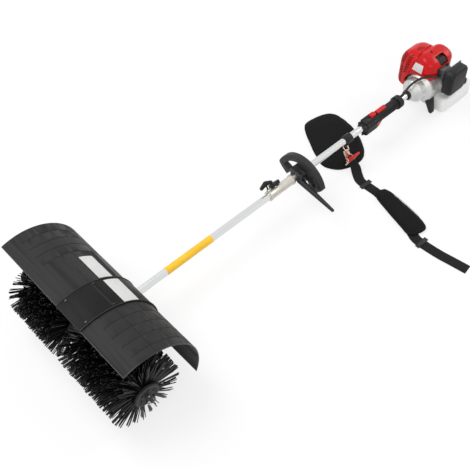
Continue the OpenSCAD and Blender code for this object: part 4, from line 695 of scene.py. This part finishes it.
# Nodes that keep their own shape and only get a material
for node, mat in (
        ("lower_tube", "tube"), ("upper_tube", "tube"), ("cap_screws", "steel"), ("ring_gear", "steel"),
        ("pinion_gear", "steel"), ("ball_bearings", "steel"), ("lower_drive_shaft", "steel"),
        ("upper_drive_shaft", "steel"), ("shaft_bushes", "rubber"), ("clutch_drum", "steel"),
        ("clutch_shoes", "sheet"), ("flywheel", "casting"), ("crankshaft", "steel"),
        ("finned_cylinder", "casting"), ("starter_pulley", "black")):
    paint(node, mat)

# Throttle cable with its smooth bend, in a ringed sleeve of two radii in metres
CABLE = [(0, 1486.2, 144), (0, 1498, 144), (0, 1511, 149), (1, 1530, 163), (5, 1552, 176), (14, 1574, 187),
         (28, 1594, 194), (44, 1608, 196), (56, 1620, 194), (60, 1634, 190), (60, 1646.4, 190)]
CABLE_STEPS, CABLE_SIDES, CABLE_RING_R, CABLE_GROOVE_R = 8, 14, 0.0047, 0.0044
line = spline([over_floor(*p) for p in CABLE], CABLE_STEPS)
radii = [CABLE_RING_R if (i // 2) % 2 else CABLE_GROOVE_R for i in range(len(line))]
v, f = tube_mesh(line, radii, CABLE_SIDES)
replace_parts(piece("cable_sleeve", v, f, "rubber", "machine", 40), "throttle_cable")

# Plain yellow sleeve on the lower tube, with tapered ends
BAND_Y, BAND_LEN, BAND_LIP, BAND_TAPER = 315, 196, 0.2, 2
BAND_BORE, BAND_EDGE_R, BAND_R = 13.02, 13.35, 13.4
lathe("yellow_band", [(BAND_BORE, 0), (BAND_EDGE_R, BAND_LIP), (BAND_R, BAND_TAPER),
                      (BAND_R, BAND_LEN - BAND_TAPER), (BAND_EDGE_R, BAND_LEN - BAND_LIP),
                      (BAND_BORE, BAND_LEN)],
      M(0, BAND_Y, 0), (0, 1, 0), "yellow", "machine")

# Hood: angles round the drum axle in degrees, radii and places along the axle
HOOD_REAR, HOOD_FRONT, HOOD_MID_R, HOOD_HALF = -23.0, 106.5, 190.5, 302.6
SADDLE_R, SADDLE_EDGES, LIP_SHORT = 196.2, (-7.6, 107.6), 0.5
RIM_R, LIP_R, ARC_STEPS, FRONT_STEPS = 0.0018, 0.0019, 64, 20
HOOD_PLATE_THICK, HOOD_PLATE_ROWS, HOOD_PLATE_COLUMNS = 0.35, 6, 10
FAR_PLATE, NEAR_PLATE = (-121, -15, 44, 60, 192.05), (2, 107, 42.5, 60, 196.15)


def hood_plate(name, x0, x1, d0, d1, r):
    """Blank plate that bends with the hood, between two places along the axle and two angles"""
    verts, faces = [], []
    for layer_r in (r, r + HOOD_PLATE_THICK):
        for i in range(HOOD_PLATE_ROWS + 1):
            for j in range(HOOD_PLATE_COLUMNS + 1):
                a = math.radians(d0 + (d1 - d0) * j / HOOD_PLATE_COLUMNS)
                verts.append(round_axle(x0 + (x1 - x0) * i / HOOD_PLATE_ROWS, layer_r, a))
    layer = len(verts) // 2
    quads, rim = grid_faces(HOOD_PLATE_ROWS, HOOD_PLATE_COLUMNS)
    for quad in quads:
        faces += [quad, tuple(layer + k for k in quad[::-1])]
    faces += [(a, b, layer + b, layer + a) for a, b in rim]
    from_bm(name, bm_of(verts, faces), "plate", "machine", PLATE_SHARP)


def hood_arc(x, r, a0, a1):
    turns = [math.radians(a0 + (a1 - a0) * k / ARC_STEPS) for k in range(ARC_STEPS + 1)]
    return [round_axle(x, r, a) for a in turns]


hood_plate("blank_plate_far", *FAR_PLATE)
hood_plate("blank_plate_near", *NEAR_PLATE)

# Rolled rims along the hood's free edges, and raised lips along both edges of the middle panel
for tag, x in (("near", HOOD_HALF), ("far", -HOOD_HALF)):
    v, f = tube_mesh(hood_arc(x, HOOD_MID_R, HOOD_REAR, HOOD_FRONT), RIM_R)
    piece("hood_end_rim_" + tag, v, f, "gloss_black", "machine", TUBE_SHARP)
front = [round_axle(HOOD_HALF * k / FRONT_STEPS, HOOD_MID_R, math.radians(HOOD_FRONT))
         for k in range(-FRONT_STEPS, FRONT_STEPS + 1)]
v, f = tube_mesh(front, RIM_R)
piece("hood_front_rim", v, f, "gloss_black", "machine", TUBE_SHARP)
for tag, x in zip(("far", "near"), SADDLE_EDGES):
    v, f = tube_mesh(hood_arc(x, SADDLE_R, HOOD_REAR + LIP_SHORT, HOOD_FRONT - LIP_SHORT), LIP_R)
    piece("saddle_lip_" + tag, v, f, "black", "machine", TUBE_SHARP)

# Engine cover details, laid on the surface that carries them
STRIP_SINK, STRIP_TOP = 0.0008, 0.75
bpy.context.view_layer.update()
cover = LOOK["engine_cover"]


def cast(o, start, direction):
    """Where a ray meets a piece, with the normal there"""
    hit, spot, normal, _ = o.ray_cast(start, Vector(direction).normalized())
    return (spot.copy(), normal.copy()) if hit else None


def on_cover(px, py):
    return cast(cover, eye, pixel_ray(px, py))


def strip(bm, spots, width, height):
    """Low bar that follows points on a surface; width and height in millimetres"""
    rows, n = [], len(spots)
    for i, (p, normal) in enumerate(spots):
        d = (spots[min(i + 1, n - 1)][0] - spots[max(i - 1, 0)][0]).normalized()
        side = d.cross(normal).normalized() * width / 2000
        lift, sink = normal * height / 1000, normal * STRIP_SINK
        corners = (-side - sink, lift - side * STRIP_TOP, lift + side * STRIP_TOP, side - sink)
        rows.append([bm.verts.new(p + q) for q in corners])
    for a, b in zip(rows, rows[1:]):
        for k in range(4):
            after = (k + 1) % 4
            bm.faces.new((a[k], a[after], b[after], b[k]))
    bm.faces.new(rows[0][::-1])
    bm.faces.new(rows[-1])


# Louvre rows along the cover's side and round its front corner, whose middle line and heights are these, with
# dark strips between them round the corner, painted shade that stands for open slots; the upper rows lean up
# over the corner's top, by degrees
LOBE_X, LOBE_Y, LOBE_FOOT, LOBE_TOP, LOBE_CAP = -64, 1642, -8, 66, 70
LOUVRE_PITCH, LOUVRE_LEANS, LOUVRE_FAR_Y, LOUVRE_TURN = 8, range(6, 52, 9), 1694, 246
LOUVRE_STEP, LOUVRE_STEP_DEG, LOUVRE_CAST = 7, 6, 0.3
LOUVRE_SIZE, OPEN_SIZE, OPEN_TURN, OPEN_SKIP = (2.2, 1.1), (4.4, 0.3), 252, 3


def row_path(height, lean, y_far, turn_to):
    """Points of one louvre row: along the cover's side, then round its front corner"""
    slope = math.radians(lean)
    stations = [(M(LOBE_X, y, height), 180) for y in range(y_far, LOBE_Y, -LOUVRE_STEP)]
    stations += [(M(LOBE_X, LOBE_Y, height), d) for d in range(180, turn_to + 1, LOUVRE_STEP_DEG)]
    path = []
    for mid, d in stations:
        away = Vector((math.cos(math.radians(d)), math.sin(math.radians(d)), 0)) * math.cos(slope)
        away += UP * math.sin(slope)
        path.append(cast(cover, mid + away * LOUVRE_CAST, -away))
    return [s for s in path if s]


slots, lips = bmesh.new(), bmesh.new()
louvres = [(v, 0) for v in range(LOBE_FOOT, LOBE_TOP, LOUVRE_PITCH)] + [(LOBE_CAP, d) for d in LOUVRE_LEANS]
for height, lean in louvres:
    strip(lips, row_path(height, lean, LOUVRE_FAR_Y, LOUVRE_TURN), *LOUVRE_SIZE)
    strip(slots, row_path(height - LOUVRE_PITCH / 2, lean, LOBE_Y, OPEN_TURN)[OPEN_SKIP:], *OPEN_SIZE)

# Dark strips of painted shade for open slots between the corner and the crease, and short ones across the
# cover's shoulder
SLOT_FIRST_PX, SLOT_LAST_PX, SLOT_HALF_PX = Vector((411.7, 55.9)), Vector((404.6, 71.4)), Vector((2.6, -0.5))
SHORT_PX, SHORT_END_PX, SHORT_STEP_PX = Vector((417.4, 50.6)), Vector((419.4, 47.0)), Vector((1.35, -0.1))
SLOT_COUNT, SLOT_SHRINK, SLOT_WIDTH, SLOT_LIFT, SLOT_STEPS = 10, 0.04, 3.6, 0.35, 6
SHORT_COUNT, SHORT_WIDTH = 5, 2.3


def slot_line(a, b, width):
    path = [on_cover(*a.lerp(b, s / SLOT_STEPS)) for s in range(SLOT_STEPS + 1)]
    path = [s for s in path if s]
    if len(path) > 1:
        strip(slots, path, width, SLOT_LIFT)


for k in range(SLOT_COUNT):
    mid = SLOT_FIRST_PX.lerp(SLOT_LAST_PX, k / (SLOT_COUNT - 1))
    half = SLOT_HALF_PX * (1 - SLOT_SHRINK * k)
    slot_line(mid - half, mid + half, SLOT_WIDTH)
for k in range(SHORT_COUNT):
    slot_line(SHORT_PX + SHORT_STEP_PX * k, SHORT_END_PX + SHORT_STEP_PX * k, SHORT_WIDTH)
# The slots are thin dark strips laid on the cover: painted shade, not openings
from_bm("cover_slot_shade", slots, "dark", "machine")
from_bm("cover_louvres", lips, "red", "machine")

# Raised crease between the cover's shoulder and its front slope
CREASE_PX = ((431.5, 44.7), (427.7, 47.0), (423.5, 49.8), (419.3, 54.4), (415.8, 59.3), (412.3, 64.9),
             (409.5, 69.1), (407.7, 72.6))
CREASE_STEPS, CREASE_SIZE = 4, (5.5, 2.4)
bm = bmesh.new()
crease = spline([(x, y, 0) for x, y in CREASE_PX], CREASE_STEPS)
strip(bm, [s for s in (on_cover(q.x, q.y) for q in crease) if s], *CREASE_SIZE)
from_bm("cover_crease", bm, "red", "machine")

# Blank plate on the cover's front slope, without an underside
PLATE_PX = ((415.8, 62.3), (423.5, 66.2), (421.4, 74.3), (411.9, 68.7))
PLATE_STEPS, PLATE_LIFT, PLATE_SINK = 8, 0.0006, 0.0004
corner = [Vector(c) for c in PLATE_PX]
spots = []
for i in range(PLATE_STEPS + 1):
    for j in range(PLATE_STEPS + 1):
        s, r = i / PLATE_STEPS, j / PLATE_STEPS
        q = (corner[0] * (1 - s) * (1 - r) + corner[1] * s * (1 - r) + corner[2] * s * r
             + corner[3] * (1 - s) * r)
        spots.append(on_cover(q.x, q.y))
if all(spots):
    bm = bmesh.new()
    top = [bm.verts.new(p + normal * PLATE_LIFT) for p, normal in spots]
    low = [bm.verts.new(p - normal * PLATE_SINK) for p, normal in spots]
    quads, rim = grid_faces(PLATE_STEPS, PLATE_STEPS)
    for quad in quads:
        bm.faces.new([top[k] for k in quad])
    for a, b in rim:
        bm.faces.new((top[a], top[b], low[b], low[a]))
    bmesh.ops.delete(bm, geom=[v for v in bm.verts if not v.link_faces], context="VERTS")
    from_bm("cover_plate", bm, "plate", "machine")

# Round recess on the cover's front slope, with a dark screw in it
RECESS_PX = (431.6, 52.0)
RECESS = [(0, 0.2), (4.6, 0.2), (5.0, 0.9), (6.6, 0.9), (7.4, -0.3)]
RECESS_SCREW = [(0, 0.5), (1.4, 0.5), (1.6, 0.9), (3.6, 0.9), (4.0, 0.25)]
spot = on_cover(*RECESS_PX)
if spot:
    lathe("cover_recess", RECESS, *spot, "red", "machine")
    lathe("cover_screw", RECESS_SCREW, *spot, "dark", "machine")

# Rubber boot in the plug window: a stem on the plug, an arm across, and a leaning cap with a ribbed top
PLUG_Y, STEM_V, STEM_R, STEM_H, ARM_X, ARM_V, ARM_R, ARM_LEN = 1664.6, 104.2, 8.2, 11, -7, 109.5, 7.2, 34
BOOT_X, BOOT_Y, BOOT_V, BOOT_LEAN, BOOT_SIDES = 31, PLUG_Y + 10, 104, 28, 28
BOOT_SIZE, BOOT_TOP_SIZE, BOOT_RIB_SIZE = (27, 43, 22), (19, 31, 5), (15, 2.4, 3)
BOOT_TOP, BOOT_RIB_TOP, BOOT_RIBS, BOOT_RIB_FIRST, BOOT_RIB_PITCH = 0.0105, 0.0132, 4, -0.0105, 0.007
STEM_BEVEL, ARM_BEVEL, BOOT_BEVEL, BOOT_TOP_BEVEL, BOOT_RIB_BEVEL = 1.2, 0.6, 6, 2.2, 0.8
bm = bmesh.new()
lean = Matrix.Rotation(math.radians(BOOT_LEAN), 3, "Y")
boot = M(BOOT_X, BOOT_Y, BOOT_V)
disc(bm, M(0, PLUG_Y, STEM_V), (0, 0, 1), STEM_R, STEM_H, BOOT_SIDES, STEM_BEVEL)
disc(bm, M(ARM_X, PLUG_Y, ARM_V), (1, 0, 0), ARM_R, ARM_LEN, BOOT_SIDES, ARM_BEVEL)
block(bm, boot, BOOT_SIZE, lean, BOOT_BEVEL, ROUND_STEPS)
block(bm, boot + lean @ Vector((0, 0, BOOT_TOP)), BOOT_TOP_SIZE, lean, BOOT_TOP_BEVEL, ROUND_STEPS)
for k in range(BOOT_RIBS):
    y = BOOT_RIB_FIRST + k * BOOT_RIB_PITCH
    block(bm, boot + lean @ Vector((0, y, BOOT_RIB_TOP)), BOOT_RIB_SIZE, lean, BOOT_RIB_BEVEL)
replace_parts(from_bm("plug_boot", bm, "rubber", "machine"), "plug_cap")

# Ribs round the clutch housing, and spokes and a boss on the starter's rear
RIBS, RIB_FIRST, RIB_Y, RIB_R, RIB_SIZE = 10, 18, 1583, 47.5, (5, 18, 5)
SPOKES, SPOKE_FIRST, SPOKE_Y, SPOKE_R, SPOKE_SIZE = 8, -22, 1752, 32, (22, 1.6, 5)
BOSS_Y, BOSS_R, BOSS_H, BOSS_SIDES = 1751.5, 12, 2, 32
RIB_BEVEL, SPOKE_BEVEL, BOSS_BEVEL = 1.6, 0.7, 1
bm = bmesh.new()
block_ring(bm, RIBS, RIB_FIRST, 360 / RIBS, "Y", M(0, RIB_Y, 0), RIB_R, RIB_SIZE, RIB_BEVEL)
from_bm("housing_ribs", bm, "casting", "machine")
bm = bmesh.new()
block_ring(bm, SPOKES, SPOKE_FIRST, -360 / SPOKES, "Y", M(0, SPOKE_Y, 0), SPOKE_R, SPOKE_SIZE, SPOKE_BEVEL)
disc(bm, M(0, BOSS_Y, 0), (0, 1, 0), BOSS_R, BOSS_H, BOSS_SIDES, BOSS_BEVEL)
from_bm("starter_ribs", bm, "black", "machine")

# Screw heads on the rear of the cover and of the starter, found by a ray from behind
BEHIND_Y, SCREW_SIDES, HEX_SIDES = 1900, 20, 6
REAR_SCREW_R, REAR_SCREW_H, REAR_SCREW_BEVEL, REAR_SCREW_SINK = 4.2, 1.8, 0.7, 0.0006
REAR_SCREWS = (("engine_cover", -80, 90), ("engine_cover", -20, 100), ("engine_cover", 30, 100),
               ("starter_housing", 42, 0), ("starter_housing", -42, 0), ("starter_housing", 0, -42))
bm = bmesh.new()
bpy.context.view_layer.update()
for node, x, v in REAR_SCREWS:
    spot = cast(LOOK[node], M(x, BEHIND_Y, v), (0, -1, 0))
    if spot:
        disc(bm, spot[0] - spot[1] * REAR_SCREW_SINK, spot[1], REAR_SCREW_R, REAR_SCREW_H, SCREW_SIDES,
             REAR_SCREW_BEVEL)
from_bm("rear_screws", bm, "black_steel", "machine")

# Collar in front of the throttle handle with its ears, and the heads of the handle's screws
COLLAR_Y, EAR_Y, EAR_BEVEL = 1264, 1269.4, 1.6
SHELL_SIDE, SCREW_R, SCREW_H, SCREW_BEVEL = 19.8, 3.2, 1.3, 0.6
COLLAR = [(13.06, 0), (17.6, 0), (19.4, 1.4), (19.4, 3.4), (17.4, 4.2), (17.4, 6.2), (19.4, 7), (19.4, 9.2),
          (18, 10.6), (13.06, 10.6)]
EARS = ((7, -23, (6, 9.5, 15)), (15, 15, (7, 9.5, 9)))
SHELL_SCREWS = ((1284, -28), (1284, 17), (1322, 14), (1326, -26))
EAR_BOLT_X, EAR_BOLT_V, EAR_BOLT_R, EAR_BOLT_H = 10, -25, 3.4, 2.6
lathe("throttle_collar", COLLAR, M(0, COLLAR_Y, 0), (0, 1, 0), "black", "machine")
bm = bmesh.new()
for side in (-1, 1):
    for x, v, size in EARS:
        block(bm, M(side * x, EAR_Y, v), size, UPRIGHT, EAR_BEVEL)
from_bm("collar_ears", bm, "black", "machine")
bm = bmesh.new()
for y, v in SHELL_SCREWS:
    for side in (-1, 1):
        disc(bm, M(side * SHELL_SIDE, y, v), (side, 0, 0), SCREW_R, SCREW_H, SCREW_SIDES, SCREW_BEVEL)
disc(bm, M(EAR_BOLT_X, EAR_Y, EAR_BOLT_V), (1, 0, 0), EAR_BOLT_R, EAR_BOLT_H, HEX_SIDES)
from_bm("throttle_screws", bm, "black_steel", "machine")

# Hub discs: a raised ring, and thin dark discs round the axle, painted shade that stands for holes
HUB_RING_X, HUB_RING_SIDES, HUB_HOLES, HUB_HOLE_FIRST, HUB_HOLES_R = 300.4, 64, 6, 15, 24
HUB_HOLE_X, HUB_HOLE_R, HUB_HOLE_H, HUB_HOLE_SIDES, HUB_HOLE_BEVEL = 300.2, 4.6, 0.7, 24, 0.4
HUB_RING = [(33, -0.4), (33.6, 1.1), (38.4, 1.1), (39.2, -0.4)]
for side, name in ((1, "left"), (-1, "right")):
    lathe(name + "_hub_ring", HUB_RING, M(side * HUB_RING_X, 0, 0), (side, 0, 0), "core", "drums",
          HUB_RING_SIDES)
    bm = bmesh.new()
    for i in range(HUB_HOLES):
        turn = math.radians(360 / HUB_HOLES * i + HUB_HOLE_FIRST)
        hole = round_axle(side * HUB_HOLE_X, HUB_HOLES_R, turn)
        disc(bm, hole, (side, 0, 0), HUB_HOLE_R, HUB_HOLE_H, HUB_HOLE_SIDES, HUB_HOLE_BEVEL)
    # The holes are dark discs on the hub face: painted shade
    from_bm(name + "_hub_hole_shade", bm, "dark", "drums")

# Fuel cap ribs
CAP_X, CAP_Y, CAP_V, CAP_R = 70, 1807.1, -44, 18
CAP_RIBS, CAP_RIB_SIZE, CAP_RIB_BEVEL = 24, (1.6, 2.4, 13), 0.6
bm = bmesh.new()
block_ring(bm, CAP_RIBS, 0, 360 / CAP_RIBS, "Z", M(CAP_X, CAP_Y, CAP_V), CAP_R, CAP_RIB_SIZE, CAP_RIB_BEVEL,
           CHAMFER_STEPS)
from_bm("cap_ribs", bm, "black", "cap")

# Starter rope, a short straight length from the housing towards the grip
ROPE_X, ROPE_Y, ROPE_V, ROPE_LEN, ROPE_R = -38, 1725.1, 30, 27, 0.0016
v, f = tube_mesh([M(ROPE_X - i, ROPE_Y, ROPE_V) for i in range(ROPE_LEN + 1)], ROPE_R)
rope = piece("starter_rope", v, f, "webbing", None, TUBE_SHARP)
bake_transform(rope)

# Floor, backdrop and light
FLOOR_HALF, FLOOR_Z, FLOOR_GREY, FLOOR_GLOW = 9, -0.0004, 0.9, 0.72
WHITE, SKY_STRENGTH = (1, 1, 1, 1), 0.6


def seen(tree):
    """Node that gives 1 to the camera's rays, also by a mirror or through glass, and 0 to other light"""
    rays = new(tree, "ShaderNodeLightPath")
    two_kinds = new(tree, "ShaderNodeMath", operation="MAXIMUM")
    all_kinds = new(tree, "ShaderNodeMath", operation="MAXIMUM")
    link(tree, rays, "Is Camera Ray", two_kinds, 0)
    link(tree, rays, "Is Glossy Ray", two_kinds, 1)
    link(tree, two_kinds, 0, all_kinds, 0)
    link(tree, rays, "Is Transmission Ray", all_kinds, 1)
    return all_kinds


def shader_mix(tree, share, first, second, output):
    mix = new(tree, "ShaderNodeMixShader")
    for k, node in enumerate((share, first, second)):
        link(tree, node, 0, mix, k)
    link(tree, mix, 0, tree.nodes[output], "Surface")


floor_mesh = bpy.data.meshes.new("floor")
corners = [(x * FLOOR_HALF, y * FLOOR_HALF, FLOOR_Z) for x, y in ((-1, -1), (1, -1), (1, 1), (-1, 1))]
floor_mesh.from_pydata(corners, [], [(0, 1, 2, 3)])
floor = add_object("floor", floor_mesh)
floor_mat, tree, surface = new_material("floor")
tree.nodes.remove(surface)
diffuse = new(tree, "ShaderNodeBsdfDiffuse", Color=(FLOOR_GREY, FLOOR_GREY, FLOOR_GREY, 1))
glow = new(tree, "ShaderNodeEmission", Color=WHITE, Strength=1.0)
part = new(tree, "ShaderNodeMath", operation="MULTIPLY")
link(tree, seen(tree), 0, part, 0)
set_inputs(part, {1: FLOOR_GLOW})
shader_mix(tree, part, diffuse, glow, "Material Output")
floor_mesh.materials.append(floor_mat)

world = bpy.data.worlds.new("studio")
scene.world = world
world.use_nodes = True
tree = world.node_tree
set_inputs(tree.nodes["Background"], {"Color": WHITE, "Strength": SKY_STRENGTH})
white = new(tree, "ShaderNodeBackground", Color=WHITE, Strength=1.0)
shader_mix(tree, seen(tree), tree.nodes["Background"], white, "World Output")

for name, place, target, size, power in (("key", (-1.6, -1.2, 3.2), (0, -0.2, 0), 2.2, 70),
                                         ("fill", (2.6, -1.8, 2.4), (0, 0, 0), 2.5, 35),
                                         ("rim", (0.5, 3.2, 2.2), (0, 0.4, 0), 1.6, 30)):
    light = bpy.data.lights.new(name, "AREA")
    light.size = size
    light.energy = power
    lamp = add_object(name, light)
    lamp.location = place
    lamp.rotation_euler = (Vector(target) - Vector(place)).to_track_quat("-Z", "Y").to_euler()

bpy.context.view_layer.update()
